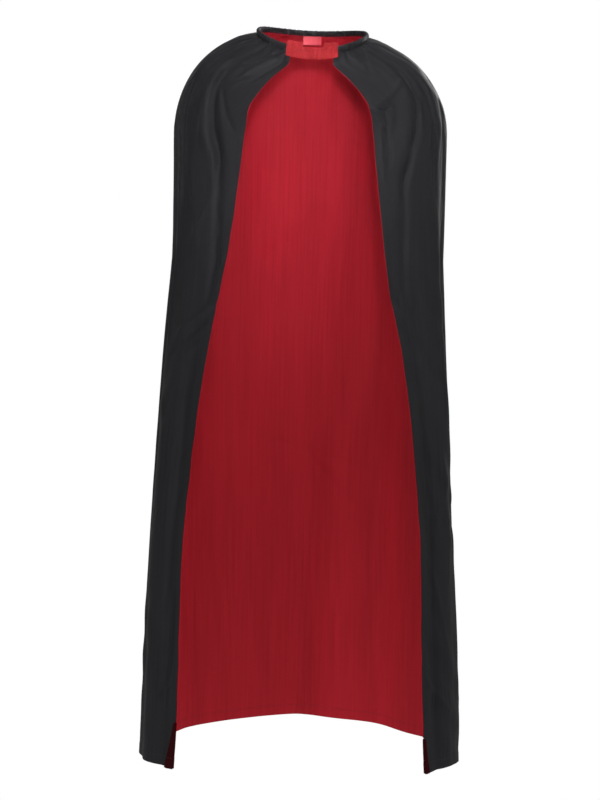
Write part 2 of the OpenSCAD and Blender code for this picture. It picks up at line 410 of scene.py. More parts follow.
    def back_panel(self, u: Array, v: Array) -> Array:
        """Points of the back panel.

        Args:
            u: share across, 0 at the wearer's right seam and 1 at the left.
            v: share down, 0 at the neckband and 1 at the hem.

        Returns:
            Points, with x, y and z in the last axis.
        """
        power = 2 / (2 - 0.2 * v)
        side_x, side_y, side_z = self.side(v)
        back_y, back_z = self.back(v)
        turn = (2 * u - 1) * math.pi / 2
        rear = np.maximum(np.cos(turn), 0.0)
        x = np.sign(turn) * side_x * np.abs(np.sin(turn)) ** power
        y = side_y + (back_y - side_y) * rear**power
        z = side_z + (back_z - side_z) * rear ** (1 + np.minimum(v / 0.1, 1.0))
        return np.stack([x, y, z + self.bend(math.pi - turn, v)], axis=-1)

    def front_panel(self, u: Array, v: Array) -> Array:
        """Points of the front panel on the wearer's left.

        Args:
            u: share across, 0 at the side seam and 1 at the free edge.
            v: share down, 0 at the neckband and 1 at the hem.

        Returns:
            Points, with x, y and z in the last axis.
        """
        round_off = 2 - 0.2 * v
        power = 2 / round_off
        side_x, side_y, side_z = self.side(v)
        edge_x, edge_y, edge_z = self.edge(v)
        edge_turn = np.arcsin((edge_x / side_x) ** (round_off / 2))
        reach = (side_y - edge_y) / np.cos(edge_turn) ** power
        turn = math.pi / 2 + (edge_turn - math.pi / 2) * u
        cosine = np.maximum(np.cos(turn), 0.0)
        x = side_x * np.sin(turn) ** power
        y = side_y - reach * cosine**power
        level = (cosine / np.cos(edge_turn)) ** (1 + np.minimum(v / 0.1, 1.0))
        return np.stack([x, y, side_z + (edge_z - side_z) * level + self.bend(turn, v)], axis=-1)

    def hung(self, points: Array) -> Array:
        """Points as the cape really hangs.

        It is swung a little to the wearer's right, less so at the left side seam, which stays near the line
        that the left front swings about. It also hangs lower on the left shoulder.

        Args:
            points: points of the evenly hanging cape.

        Returns:
            The moved points.
        """
        x, z = points[..., 0], points[..., 2]
        swung = points.copy()
        held = 1 - self.seam_hold * ease((x - 0.12) / 0.06)
        swung[..., 0] -= self.sway * held * ease((-z - 0.28) / 0.25) * ease((1.2 + z) / 0.4)
        slump = self.left_slump * ease((x - 0.08) / 0.06) + self.right_slump * ease((-x - 0.09) / 0.05)
        swung[..., 2] -= slump * ease((z + 0.2) / 0.14)
        swung[..., 2] -= self.ring.lean * np.clip(x / self.cloth_radius, -1, 1) * ease((z + 0.13) / 0.1)
        return swung

    def tucked(self, points: Array, v: Array) -> Array:
        """Points with the rows above the neckband's lower edge slid up into its casing."""
        up = np.array([0.0, -math.sin(self.ring.tilt), math.cos(self.ring.tilt)])
        return points + np.minimum(v, 0.0)[..., None] * -up * (self.tuck / 0.01)


# ---------------------------------------------------------------- materials


class Signal:
    """One output of a node graph, with arithmetic that adds Math nodes."""

    def __init__(self, graph: Graph, socket: bpy.types.NodeSocket) -> None:
        """Wraps a socket.

        Args:
            graph: the graph that the socket belongs to.
            socket: the output socket.
        """
        self.graph = graph
        self.socket = socket

    def _math(self, operation: str, *values: object) -> Signal:
        """Math node with this operation on the given values."""
        return self.graph.node("ShaderNodeMath", dict(enumerate(values)), operation=operation)

    def __add__(self, other: object) -> Signal:
        """Sum."""
        return self._math("ADD", self, other)

    def __sub__(self, other: object) -> Signal:
        """Difference."""
        return self._math("SUBTRACT", self, other)

    def __mul__(self, other: object) -> Signal:
        """Product."""
        return self._math("MULTIPLY", self, other)

    def wave(self) -> Signal:
        """Sine of the signal, raised to go from 0 to 1."""
        return self._math("SINE", self) * 0.5 + 0.5


class Graph:
    """The node graph of a material or of the world."""

    def __init__(self, owner: bpy.types.Material | bpy.types.World) -> None:
        """Starts with an empty graph.

        Args:
            owner: the material or world.
        """
        owner.use_nodes = True
        self.owner = owner
        self.tree = owner.node_tree
        self.tree.nodes.clear()

    @staticmethod
    def of_material(name: str) -> Graph:
        """Empty graph of a new material."""
        return Graph(bpy.data.materials.new(name))

    def node(self, kind: str, inputs: dict | None = None, out: object = 0, **settings: object) -> Signal:
        """Adds a node.

        Args:
            kind: type of the node.
            inputs: values or signals by socket name or index.
            out: name or index of the output to return.
            settings: the node's own settings.

        Returns:
            The output as a signal.
        """
        made = self.tree.nodes.new(kind)
        for key, value in settings.items():
            setattr(made, key, value)
        for key, value in (inputs or {}).items():
            if isinstance(value, Signal):
                self.tree.links.new(value.socket, made.inputs[key])
            else:
                made.inputs[key].default_value = value
        return Signal(self, made.outputs[out])

    def place(self) -> Signal:
        """Place on the piece, in metres."""
        return self.node("ShaderNodeTexCoord", out="Object")

    def cloth(self) -> tuple[Signal, Signal]:
        """The cloth's own coordinates, across and down it, in metres."""
        parts = self.node("ShaderNodeSeparateXYZ", {"Vector": self.node("ShaderNodeUVMap", uv_map=CLOTH_UV)})
        return parts, Signal(self, parts.socket.node.outputs["Y"])

    def vector(self, x: Signal, y: Signal, z: float) -> Signal:
        """Vector from its parts."""
        return self.node("ShaderNodeCombineXYZ", {"X": x, "Y": y, "Z": z})

    def noise(self, vector: Signal, scale: float, detail: float = 2.0) -> Signal:
        """Noise over a vector, from 0 to 1."""
        return self.node("ShaderNodeTexNoise", {"Vector": vector, "Scale": scale, "Detail": detail})

    def colours(self, factor: Signal, *colours: tuple[float, float, float]) -> Signal:
        """Colour that runs evenly through the given colours as the factor goes from 0 to 1.

        Args:
            factor: the factor.
            colours: the colours, in order.

        Returns:
            The colour.
        """
        made = self.node("ShaderNodeValToRGB", {"Fac": factor})
        stops = made.socket.node.color_ramp.elements
        while len(stops) < len(colours):
            stops.new(0.5)
        for i, (stop, colour) in enumerate(zip(stops, colours)):
            stop.position = i / (len(colours) - 1)
            stop.color = (*colour, 1.0)
        return made

    def bump(self, height: Signal, depth: float, strength: float, under: Signal | None = None) -> Signal:
        """Normal from a height.

        Args:
            height: the height, from 0 to 1.
            depth: depth in metres of a height of 1.
            strength: share of the bump to show.
            under: normal that the bump is laid over.

        Returns:
            The normal.
        """
        inputs = {"Height": height, "Distance": depth, "Strength": strength}
        if under is not None:
            inputs["Normal"] = under
        return self.node("ShaderNodeBump", inputs)

    def end(self, kind: str, shader: Signal) -> None:
        """Links a shader to the graph's output node."""
        output = self.tree.nodes.new(kind)
        self.tree.links.new(shader.socket, output.inputs["Surface"])

    def finish(self, inputs: dict) -> bpy.types.Material:
        """Ends a material's graph in a Principled shader.

        Args:
            inputs: values or signals by socket name.

        Returns:
            The material.
        """
        self.end("ShaderNodeOutputMaterial", self.node("ShaderNodeBsdfPrincipled", inputs, "BSDF"))
        return self.owner


@dataclass(frozen=True)
class Satin:
    """Polyester satin: fine lengthwise ribs, a soft sheen and slight streaks of shade.

    Where the cloth is marked as turned over, its colour is darkened to a share of the shade colour: painted
    shade for the shadow on the rolled corners.
    """

    name: str
    shade: tuple[float, float, float]
    light: tuple[float, float, float]
    roughness: float = 0.42
    specular: float = 0.35
    sheen: float = 0.1
    sheen_tint: tuple[float, float, float, float] = WHITE
    rib_pitch: float = 0.0016
    rib_depth: float = 0.00004
    streak: float = 0.5
    # painted shade on the rolled corners: how strongly the mark darkens the colour, and the share of the
    # shade colour that it darkens to
    dull: float = 2.1
    reverse: float = 0.07

    def material(self) -> bpy.types.Material:
        """Builds the satin's material.

        Returns:
            The material.
        """
        g = Graph.of_material(self.name)
        across, down = g.cloth()
        warp = (across * (2 * math.pi / self.rib_pitch)).wave()
        weft = (down * (2 * math.pi / (0.8 * self.rib_pitch)) + across * 900.0).wave()
        streaks = g.noise(g.vector(across * 260.0, down * 6.0, 0.0), 1.0, 3.0)
        shading = g.noise(g.vector(across * 22.0, down * 2.2, 3.0), 1.0, 2.0)
        crumple = g.noise(g.place(), 34.0, 3.0)
        tone = streaks * self.streak + shading * (1.0 - self.streak)
        # where the rolled corner is marked, the colour is darkened towards a share of the shade colour:
        # painted shade
        turned = g.node("ShaderNodeAttribute", out="Fac", attribute_name=TURNED)
        bright = (tone - 0.3) * 2.2 - turned * self.dull
        reverse = tuple(self.reverse * c for c in self.shade)
        relief = warp * 0.5 + weft * 0.25 + streaks * 1.3
        fine = g.bump(relief, self.rib_depth, 0.55)
        return g.finish(
            {
                "Base Color": g.colours(bright * 0.5 + 0.5, reverse, self.shade, self.light),
                "Roughness": shading * 0.16 + (self.roughness - 0.08),
                "Specular IOR Level": self.specular,
                "Sheen Weight": self.sheen,
                "Sheen Roughness": 0.45,
                "Sheen Tint": self.sheen_tint,
                "Normal": g.bump(crumple, 0.0012, 0.35, fine),
            }
        )


@dataclass(frozen=True)
class Binding:
    """Satin folded into a narrow binding: ribs along it and small puckers between the stitches."""

    name: str
    shade: tuple[float, float, float]
    light: tuple[float, float, float]
    roughness: float = 0.5

    def material(self) -> bpy.types.Material:
        """Builds the binding's material.

        Returns:
            The material.
        """
        g = Graph.of_material(self.name)
        place = g.place()
        pucker = g.noise(place, 190.0, 3.0)
        weave = g.noise(place, 1400.0, 2.0)
        return g.finish(
            {
                "Base Color": g.colours(pucker * 1.6 - 0.3, self.shade, self.light),
                "Roughness": pucker * 0.2 + (self.roughness - 0.1),
                "Specular IOR Level": 0.1,
                "Normal": g.bump(weave, 0.00012, 0.5, g.bump(pucker, 0.0007, 0.5)),
            }
        )


@dataclass(frozen=True)
class Tape:
    """Woven tape: ribs across it, or brushed pile where the ribs are left out."""

    name: str
    shade: tuple[float, float, float]
    light: tuple[float, float, float]
    rib_pitch: float = 0.0022
    ribs: float = 1.0
    pile: float = 0.4

    def material(self) -> bpy.types.Material:
        """Builds the tape's material.

        Returns:
            The material.
        """
        g = Graph.of_material(self.name)
        across, _ = g.cloth()
        rib = (across * (2 * math.pi / self.rib_pitch)).wave()
        place = g.place()
        fuzz = g.noise(place, 900.0, 3.0)
        dots = g.noise(place, 380.0, 1.0)
        height = rib * self.ribs + fuzz * self.pile + dots * self.pile
        tone = (rib * (0.3 * self.ribs)) + dots * 0.9 + fuzz * 0.3
        return g.finish(
            {
                "Base Color": g.colours(tone * 1.7 - 0.55, self.shade, self.light),
                "Roughness": fuzz * 0.2 + 0.55,
                "Specular IOR Level": 0.2,
                "Sheen Weight": 0.05,
                "Sheen Roughness": 0.5,
                "Sheen Tint": (1.0, 0.5, 0.5, 1.0),
                "Normal": g.bump(height, 0.00035, 0.6),
            }
        )


@dataclass(frozen=True)
class Thread:
    """Spun sewing thread with a twist."""

    name: str
    colour: tuple[float, float, float]

    def material(self) -> bpy.types.Material:
        """Builds the thread's material.

        Returns:
            The material.
        """
        g = Graph.of_material(self.name)
        fibre = g.noise(g.place(), 2600.0, 2.0)
        dark = tuple(0.6 * c for c in self.colour)
        return g.finish(
            {
                "Base Color": g.colours(fibre, dark, self.colour),
                "Roughness": fibre * 0.2 + 0.5,
                "Specular IOR Level": 0.4,
                "Normal": g.bump(fibre, 0.0001, 0.6),
            }
        )


@dataclass(frozen=True)
class Interfacing:
    """Pressed non-woven interfacing."""

    name: str = "interfacing"

    def material(self) -> bpy.types.Material:
        """Builds the interfacing's material.

        Returns:
            The material.
        """
        g = Graph.of_material(self.name)
        fibre = g.noise(g.place(), 700.0, 4.0)
        return g.finish(
            {
                "Base Color": g.colours(fibre, (0.55, 0.55, 0.52), (0.78, 0.78, 0.76)),
                "Roughness": fibre * 0.1 + 0.85,
                "Normal": g.bump(fibre, 0.0003, 0.5),
            }
        )


@dataclass(frozen=True)
class Wardrobe:
    """Every finish of the cape, built once."""

    shell: bpy.types.Material
    lining: bpy.types.Material
    band: bpy.types.Material
    strap: bpy.types.Material
    pile: bpy.types.Material
    hooks: bpy.types.Material
    ribbon: bpy.types.Material
    black_thread: bpy.types.Material
    red_thread: bpy.types.Material
    interfacing: bpy.types.Material

    @staticmethod
    def make() -> Wardrobe:
        """Builds the finishes.

        Returns:
            The finishes.
        """
        return Wardrobe(
            shell=Satin(
                "black_satin", (0.0076, 0.0077, 0.0085), (0.0155, 0.0156, 0.0175), roughness=0.50,
                specular=0.06, sheen=0.01,
            ).material(),
            lining=Satin(
                "red_satin", (0.262, 0.0103, 0.0162), (0.385, 0.0152, 0.0250), roughness=0.58, specular=0.03,
                sheen=0.01, sheen_tint=(1.0, 0.35, 0.4, 1.0),
            ).material(),
            band=Binding("black_binding", (0.007, 0.007, 0.008), (0.0135, 0.0135, 0.0155)).material(),
            strap=Tape("red_strap", (0.128, 0.0024, 0.0038), (0.280, 0.0070, 0.0098)).material(),
            pile=Tape("red_pile", (0.36, 0.012, 0.022), (0.62, 0.035, 0.048), ribs=0.0, pile=1.0).material(),
            hooks=Tape("red_hooks", (0.3, 0.01, 0.018), (0.5, 0.025, 0.035), 0.0015, 0.5, 0.8).material(),
            ribbon=Satin(
                "pink_ribbon", (0.33, 0.0055, 0.020), (0.41, 0.0095, 0.030), roughness=0.45, specular=0.2,
                rib_pitch=0.001,
            ).material(),
            black_thread=Thread("black_thread", (0.02, 0.02, 0.023)).material(),
            red_thread=Thread("red_thread", (0.4, 0.012, 0.022)).material(),
            interfacing=Interfacing().material(),
        )


# ---------------------------------------------------------------- modelling helpers


def select_only(piece: bpy.types.Object) -> None:
    """Selects one object and makes it active.

    Args:
        piece: the piece.
    """
    bpy.ops.object.select_all(action="DESELECT")
    piece.select_set(True)
    bpy.context.view_layer.objects.active = piece


def new_grid(name: str, columns: int, rows: int) -> tuple[bpy.types.Object, Array, Array]:
    """Adds a flat grid to shape into cloth.

    Args:
        name: name of the piece.
        columns: faces across.
        rows: faces down.

    Returns:
        The grid, and the column and row number of each vertex.
    """
    bpy.ops.object.select_all(action="DESELECT")
    bpy.ops.mesh.primitive_grid_add(x_subdivisions=columns, y_subdivisions=rows, size=2.0)
    piece = bpy.context.object
    piece.name = piece.data.name = name
    flat = np.empty(len(piece.data.vertices) * 3, np.float32)
    piece.data.vertices.foreach_get("co", flat)
    flat = flat.reshape(-1, 3)
    column = np.rint((flat[:, 0] + 1) / 2 * (len(np.unique(np.round(flat[:, 0], 5))) - 1)).astype(int)
    row = np.rint((1 - flat[:, 1]) / 2 * (len(np.unique(np.round(flat[:, 1], 5))) - 1)).astype(int)
    return piece, column, row


def shape_grid(piece: bpy.types.Object, column: Array, row: Array, points: Array, cloth: Array) -> None:
    """Moves a grid's vertices to their places and gives it cloth coordinates.

    Args:
        piece: the grid.
        column: column number of each vertex.
        row: row number of each vertex.
        points: place of each grid point, rows x columns x 3.
        cloth: cloth coordinates of each grid point, rows x columns x 2.
    """
    mesh = piece.data
    mesh.vertices.foreach_set("co", points[row, column].astype(np.float32).ravel())
    while mesh.uv_layers:
        mesh.uv_layers.remove(mesh.uv_layers[0])
    layer = mesh.uv_layers.new(name=CLOTH_UV)
    corner = np.empty(len(mesh.loops), np.int32)
    mesh.loops.foreach_get("vertex_index", corner)
    layer.data.foreach_set("uv", cloth[row[corner], column[corner]].astype(np.float32).ravel())
    mesh.update()


def apply_modifier(piece: bpy.types.Object, kind: str, **settings: object) -> None:
    """Adds a modifier with the given settings and applies it.

    Args:
        piece: the piece.
        kind: kind of the modifier.
        settings: the modifier's own settings.
    """
    select_only(piece)
    modifier = piece.modifiers.new(kind.title(), kind)
    for key, value in settings.items():
        setattr(modifier, key, value)
    bpy.ops.object.modifier_apply(modifier=modifier.name)


def smooth(piece: bpy.types.Object, angle: float = 40.0) -> None:
    """Shades a piece smooth, with edges kept where faces meet at more than the angle in degrees."""
    select_only(piece)
    bpy.ops.object.shade_smooth_by_angle(angle=math.radians(angle))


def dress(piece: bpy.types.Object, material: bpy.types.Material) -> None:
    """Gives a piece one material."""
    piece.data.materials.clear()
    piece.data.materials.append(material)


def mark(piece: bpy.types.Object, column: Array, row: Array, values: Array) -> None:
    """Marks each vertex of a grid with how far the cloth is turned over there; the material paints shade
    where it is marked.
    """
    layer = piece.data.attributes.new(TURNED, "FLOAT", "POINT")
    layer.data.foreach_set("value", values[row, column].astype(np.float32))


def face_out(piece: bpy.types.Object) -> None:
    """Makes a closed piece's faces point outwards.

    Args:
        piece: the piece.
    """
    select_only(piece)
    bpy.ops.object.mode_set(mode="EDIT")
    bpy.ops.mesh.select_all(action="SELECT")
    bpy.ops.mesh.normals_make_consistent(inside=False)
    bpy.ops.object.mode_set(mode="OBJECT")


@dataclass(frozen=True)
class Cut:
    """A piece of cloth or tape ready to be made: its points and its own coordinates, on a grid."""

    name: str
    points: Array
    cloth: Array
    thickness: float = 0.0
    # how far the cloth is turned over at each point; the material paints shade there
    turned: Array | None = None

    def grid(self) -> bpy.types.Object:
        """Builds the sheet without thickness.

        Returns:
            The sheet.
        """
        rows, columns = self.points.shape[:2]
        piece, column, row = new_grid(self.name, columns - 1, rows - 1)
        shape_grid(piece, column, row, self.points, self.cloth)
        if self.turned is not None:
            mark(piece, column, row, self.turned)
        return piece

    def make(self, material: bpy.types.Material, angle: float = 60.0) -> bpy.types.Object:
        """Builds the sheet with its thickness, half to each side.

        Args:
            material: its finish.
            angle: angle in degrees up to which faces are shaded smooth.

        Returns:
            The finished sheet.
        """
        piece = self.grid()
        settings = {"thickness": self.thickness, "offset": 0.0, "use_even_offset": False, "use_rim": True}
        apply_modifier(piece, "SOLIDIFY", **settings)
        face_out(piece)
        smooth(piece, angle)
        dress(piece, material)
        return piece


def arc_lengths(points: Array, axis: int) -> Array:
    """Distance along a grid of points from its first row or column.

    Args:
        points: the grid of points.
        axis: 0 to go down the grid, 1 to go across it.

    Returns:
        Distances, on the grid.
    """
    steps = np.linalg.norm(np.diff(points, axis=axis), axis=2)
    pad = [(1, 0) if a == axis else (0, 0) for a in (0, 1)]
    return np.cumsum(np.pad(steps, pad), axis=axis)


def seat(piece: bpy.types.Object, body: str, slot: str, *nodes: str) -> None:
    """Rides a piece on a body, hides the solids it stands for, and logs it.

    Args:
        piece: the piece.
        body: body that it rides on.
        slot: not used.
        nodes: solids that it stands for.
    """
    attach(piece, body)
    if nodes:
        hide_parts(*nodes)
    log.info("%s: %d faces, on %s", piece.name, len(piece.data.polygons), body)


# ---------------------------------------------------------------- cloth panels


@dataclass(frozen=True)
class Layer:
    """One of the cape's two layers of cloth.

    The offset is its distance from the middle surface. The lifts draw its hem up a little, and edge_reach
    takes it past the free front edge, so that the shell covers the lining at the back and the lining shows
    at the front.
    """

    name: str
    offset: float
    thickness: float
    back_lift: float
    front_lift: float
    edge_reach: float
    slot: str

    def offsets(self, v: Array, length: float) -> Array:
        """Distance of the layer from the middle surface: more over the turned-up hem, less at its stitches.

        Args:
            v: share down the panel.
            length: length of the panel.

        Returns:
            Offsets outwards.
        """
        above = (1 - v) * length
        turned = ease((0.019 - above) / 0.002) * 0.0005
        pinch = 0.0004 * np.exp(-(((above - HEM_STITCHES) / 0.0018) ** 2))
        return self.offset + math.copysign(1.0, self.offset) * (turned - pinch)


SHELL = Layer("shell", 0.0007, 0.0005, 0.0015, 0.0, 0.0, "shell_satin")
LINING = Layer("lining", -0.0007, 0.0005, 0.0, 0.0015, 0.0007, "lining_satin")


def spread(*stretches: tuple[float, float, int]) -> Array:
    """Positions in stretches of even steps, each given as its start, end and number of steps."""
    parts = [np.linspace(a, b, n, endpoint=False) for a, b, n in stretches]
    return np.concatenate([*parts, [stretches[-1][1]]])


@dataclass(frozen=True)
class Roll:
    """A lower front corner whose edge is rolled outwards, so that the lining shows.

    The roll is widest at the hem and narrows to nothing at its height above it.
    """

    height: float
    width: float
    radius: float = 0.0018
    taper: float = 1.05


@dataclass
class BackPanel:
    """The back of the cape, one piece of shell and one of lining."""

    form: CapeForm
    columns: int = 150
    seam_dip: float = 0.0008
    folds: list[Fold] = field(default_factory=list)

    def shares(self) -> Array:
        """Share down the panel of each row."""
        return spread((-0.01, 0.0, 2), (0.0, 0.08, 40), (0.08, 0.975, 232), (0.975, 1.0, 16))

    def surface(self) -> tuple[Array, Array, Array, Array]:
        """Middle surface with its folds.

        Returns:
            Points, normals, share across and share down, on the grid.
        """
        v, u = np.meshgrid(self.shares(), np.linspace(0, 1, self.columns + 1), indexing="ij")
        down = np.maximum(v, 0.0)
        points = self.form.tucked(self.form.back_panel(u, down), v)
        normal = -grid_normals(points)
        breadth = arc_lengths(points, 1)[:, -1:]
        relief = self.drape(u, down, breadth)
        relief = relief * ease(np.minimum(u, 1 - u) * breadth / 0.05)
        relief = relief - self.seam_dip * np.exp(-((np.minimum(u, 1 - u) * breadth / 0.003) ** 2))
        return self.form.hung(points + normal * relief[..., None]), normal, u, v

    def drape(self, u: Array, v: Array, breadth: Array) -> Array:
        """Height of the folds over the panel.

        Args:
            u: share across the panel.
            v: share down the panel.
            breadth: width of the panel at each row.

        Returns:
            Displacement outwards at each point.
        """
        x = (u - 0.5) * breadth
        fan = (u - 0.5) * 0.62
        gathers = ripple(fan, [0.031, 0.043, 0.024], 3) * 0.0016 * np.exp(-v / 0.05) * ease(v / 0.006)
        hang = ripple(fan, [0.21, 0.135, 0.29], 11) * 0.0042 * ease((v - 0.05) / 0.5)
        sway = ripple(fan + 0.02 * v, [0.088, 0.12], 17) * 0.0016 * ease((v - 0.2) / 0.7)
        creases = sum(f.relief(u, v, breadth, self.form.length) for f in self.folds)
        soft = ripple(x * 1.3 + v * 0.31, [0.11, 0.19], 23) * ripple(v, [0.17, 0.26], 29) * 0.0008
        return gathers + hang + sway + soft + creases

    def piece(self, layer: Layer, material: bpy.types.Material) -> bpy.types.Object:
        """Builds one layer of the panel.

        Args:
            layer: which layer to build.
            material: its finish.

        Returns:
            The finished sheet.
        """
        points, normal, u, v = self.surface()
        points = points + normal * layer.offsets(v, self.form.length)[..., None]
        cloth = np.stack([arc_lengths(points, 1), arc_lengths(points, 0)], axis=-1)
        cloth[..., 0] -= cloth[:, -1:, 0] / 2
        points = lifted_hem(points, v, layer.back_lift)
        return Cut(f"back_{layer.name}", points, cloth, layer.thickness).make(material, 40.0)


def lifted_hem(points: Array, v: Array, lift: Array | float) -> Array:
    """Points with the hem drawn up a little.

    Args:
        points: the grid of points.
        v: share down the panel.
        lift: how far the hem is drawn up.

    Returns:
        The moved points.
    """
    lifted = points.copy()
    lifted[..., 2] += lift * ease((v - 0.95) / 0.05)
    return lifted


@dataclass
class FrontPanel:
    """One front of the cape, from the side seam to the free edge, neckband to hem."""

    form: CapeForm
    side: Side
    folds: list[Fold]
    roll: Roll
    seed: int
    seam_dip: float = 0.0008
    fold_gain: float = 1.4
    hem_arch: float = 0.014
    least_roll: float = 0.0005

    def shares(self) -> Array:
        """Share down the panel of each row."""
        chest = ((-0.01, 0.0, 2), (0.0, 0.2, 110))
        return spread(*chest, (0.2, 0.92, 210), (0.92, 0.975, 20), (0.975, 1.0, 16))

    def crossings(self) -> Array:
        """Share across the panel of each column, closer together at the free edge."""
        return spread((0.0, 0.04, 3), (0.04, 0.86, 52), (0.86, 1.0, 25))

    def rolled_width(self, v: Array) -> Array:
        """Width of cloth rolled outwards at the lower corner, by share down the panel."""
        above = (1 - v) * self.form.length
        return self.roll.width * np.clip(1 - above / self.roll.height, 0.0, 1.0) ** self.roll.taper

    def surface(self, reach: float = 0.0) -> tuple[Array, Array, Array, Array]:
        """Middle surface with its folds and its rolled corner, on the wearer's left.

        Args:
            reach: how far past the free edge the layer goes.

        Returns:
            Points, normals, share across and share down, on the grid.
        """
        v, across = np.meshgrid(self.shares(), self.crossings(), indexing="ij")
        down = np.maximum(v, 0.0)
        flat = self.form.tucked(self.form.front_panel(across, down), v)
        breadth = arc_lengths(flat, 1)[:, -1:]
        rolled = self.rolled_width(down[:, :1])
        curl = rolled > self.least_roll
        spare = np.where(curl, rolled + math.pi * self.roll.radius, rolled)
        distance = across * (breadth + reach + spare)
        u = np.minimum(distance / breadth, 1.0)
        normal = self.smooth_normals(down, across)
        points = self.form.tucked(self.form.front_panel(u, down), v)
        relief = self.drape(u, down, breadth) * ease(u * breadth / 0.03)
        relief = relief - self.seam_dip * np.exp(-((u * breadth / 0.003) ** 2))
        points = points + normal * relief[..., None]
        past, turned_normal = self.past_edge(distance - breadth, normal, v, curl)
        over = (curl * (distance > breadth))[..., None]
        return points + past, np.where(over, turned_normal, normal), u, v

    def past_edge(self, beyond: Array, normal: Array, v: Array, curl: Array) -> tuple[Array, Array]:
        """The way from the free edge to each point past it: straight on, or rolled outwards where it curls.

        Args:
            beyond: distance past the free edge, below 0 within the panel.
            normal: normals of the panel.
            v: share down the panel.
            curl: whether each row's edge is rolled.

        Returns:
            Displacements, and the normals of the rolled cloth.
        """
        near = np.stack([np.full_like(v[:, 0], 0.985), np.ones_like(v[:, 0])], axis=1)
        rows = np.repeat(v[:, :1], 2, axis=1)
        edge = self.form.tucked(self.form.front_panel(near, np.maximum(rows, 0.0)), rows)
        out = edge[:, 1:] - edge[:, :1]
        out = out / np.linalg.norm(out, axis=2, keepdims=True)
        face = np.repeat(normal[:, -1:], normal.shape[1], axis=1)
        bend = np.clip(beyond, 0.0, None)
        radius = self.roll.radius
        angle = np.minimum(bend / radius, math.pi)
        straight = np.maximum(bend - math.pi * radius, 0.0)
        back = out * (radius * np.sin(angle) - straight)[..., None]
        rise = face * (radius * (1 - np.cos(angle)) + 0.05 * straight)[..., None]
        past = np.where(curl[..., None], back + rise, out * bend[..., None])
        return past, face * np.cos(angle)[..., None] - out * np.sin(angle)[..., None]

    def smooth_normals(self, v: Array, across: Array) -> Array:
        """Normals of the panel before folding, pointing out of the cape."""
        plain = self.form.tucked(self.form.front_panel(across, v), np.minimum(v, 0.0))
        return -grid_normals(plain)

    def drape(self, u: Array, v: Array, breadth: Array) -> Array:
        """Height of the folds over the panel.

        Args:
            u: share across the panel.
            v: share down the panel.
            breadth: width of the panel at each row.

        Returns:
            Displacement outwards at each point.
        """
        fan = u * 0.16
        gathers = ripple(fan, [0.024, 0.034, 0.018], self.seed) * 0.0016
        gathers = gathers * np.exp(-v / 0.045) * ease(v / 0.006)
        hang = ripple(fan, [0.09, 0.14], self.seed + 1) * 0.0022 * ease((v - 0.1) / 0.4)
        soft = ripple(u * 0.3 + v, [0.11, 0.17], self.seed + 2) * ripple(v, [0.09, 0.14], self.seed + 3)
        folded = sum(f.relief(u, v, breadth, self.form.length) for f in self.folds)
        return gathers + hang + soft * 0.0009 + self.fold_gain * folded

    def piece(self, layer: Layer, material: bpy.types.Material) -> bpy.types.Object:
        """Builds one layer of the front.

        Args:
            layer: which layer to build.
            material: its finish.

        Returns:
            The finished sheet.
        """
        points, normal, u, v = self.surface(layer.edge_reach)
        points = points + normal * layer.offsets(v, self.form.length)[..., None]
        cloth = np.stack([arc_lengths(points, 1), arc_lengths(points, 0)], axis=-1)
        points = lifted_hem(points, v, layer.front_lift + self.hem_arch * u * (1 - u))
        points[..., 0] *= self.side.value
        points = self.form.hung(points)
        # the last stretch of each rolled corner is marked for the material's painted shade
        rolled = self.rolled_width(np.maximum(v, 0.0)) > self.least_roll
        over = np.where(rolled, ease((u - 0.995) / 0.004), 0.0)
        name = f"{self.side.label}_front_{layer.name}"
        return Cut(name, points, cloth, layer.thickness, over).make(material)


# ---------------------------------------------------------------- threads and straps

GUIDE = np.array([0.31, 0.17, 0.93])  # a direction that no thread runs along, to turn its sides from


def directions_along(path: Array) -> Array:
    """Unit directions along a path."""
    run = np.gradient(path, axis=0)
    return run / np.maximum(np.linalg.norm(run, axis=1, keepdims=True), 1e-12)


def tube(name: str, path: Array, radius: float, sides: int = 6) -> bpy.types.Object:
    """Closed round tube along a path, made from a grid rolled up and capped.

    Args:
        name: name of the piece.
        path: centreline points.
        radius: radius of the tube.
        sides: number of sides.

    Returns:
        The tube.
    """
    along = directions_along(path)
    up = np.cross(along, GUIDE)
    up /= np.linalg.norm(up, axis=1, keepdims=True)
    other = np.cross(along, up)
    turn = np.linspace(0, 2 * math.pi, sides + 1)
    count = np.arange(len(path))
    taper = np.minimum(1.0, 0.35 + np.minimum(count, count[::-1]) * 0.4)
    rings = up[:, None] * np.cos(turn)[None, :, None] + other[:, None] * np.sin(turn)[None, :, None]
    points = path[:, None] + rings * (radius * taper)[:, None, None]
    cloth = np.stack(np.meshgrid(turn * radius, count * 0.0005), axis=-1)
    piece = Cut(name, points, cloth).grid()
    close_tube(piece)
    return piece


def close_tube(piece: bpy.types.Object) -> None:
    """Joins a rolled-up grid along its length and fills its two ends.

    Args:
        piece: the piece.
    """
    select_only(piece)
    bpy.ops.object.mode_set(mode="EDIT")
    bpy.ops.mesh.select_all(action="SELECT")
    bpy.ops.mesh.remove_doubles(threshold=0.000001)
    bpy.ops.mesh.select_all(action="DESELECT")
    bpy.ops.mesh.select_non_manifold()
    bpy.ops.mesh.edge_face_add()
    bpy.ops.mesh.select_all(action="SELECT")
    bpy.ops.mesh.normals_make_consistent(inside=False)
    bpy.ops.object.mode_set(mode="OBJECT")
    smooth(piece, 70.0)


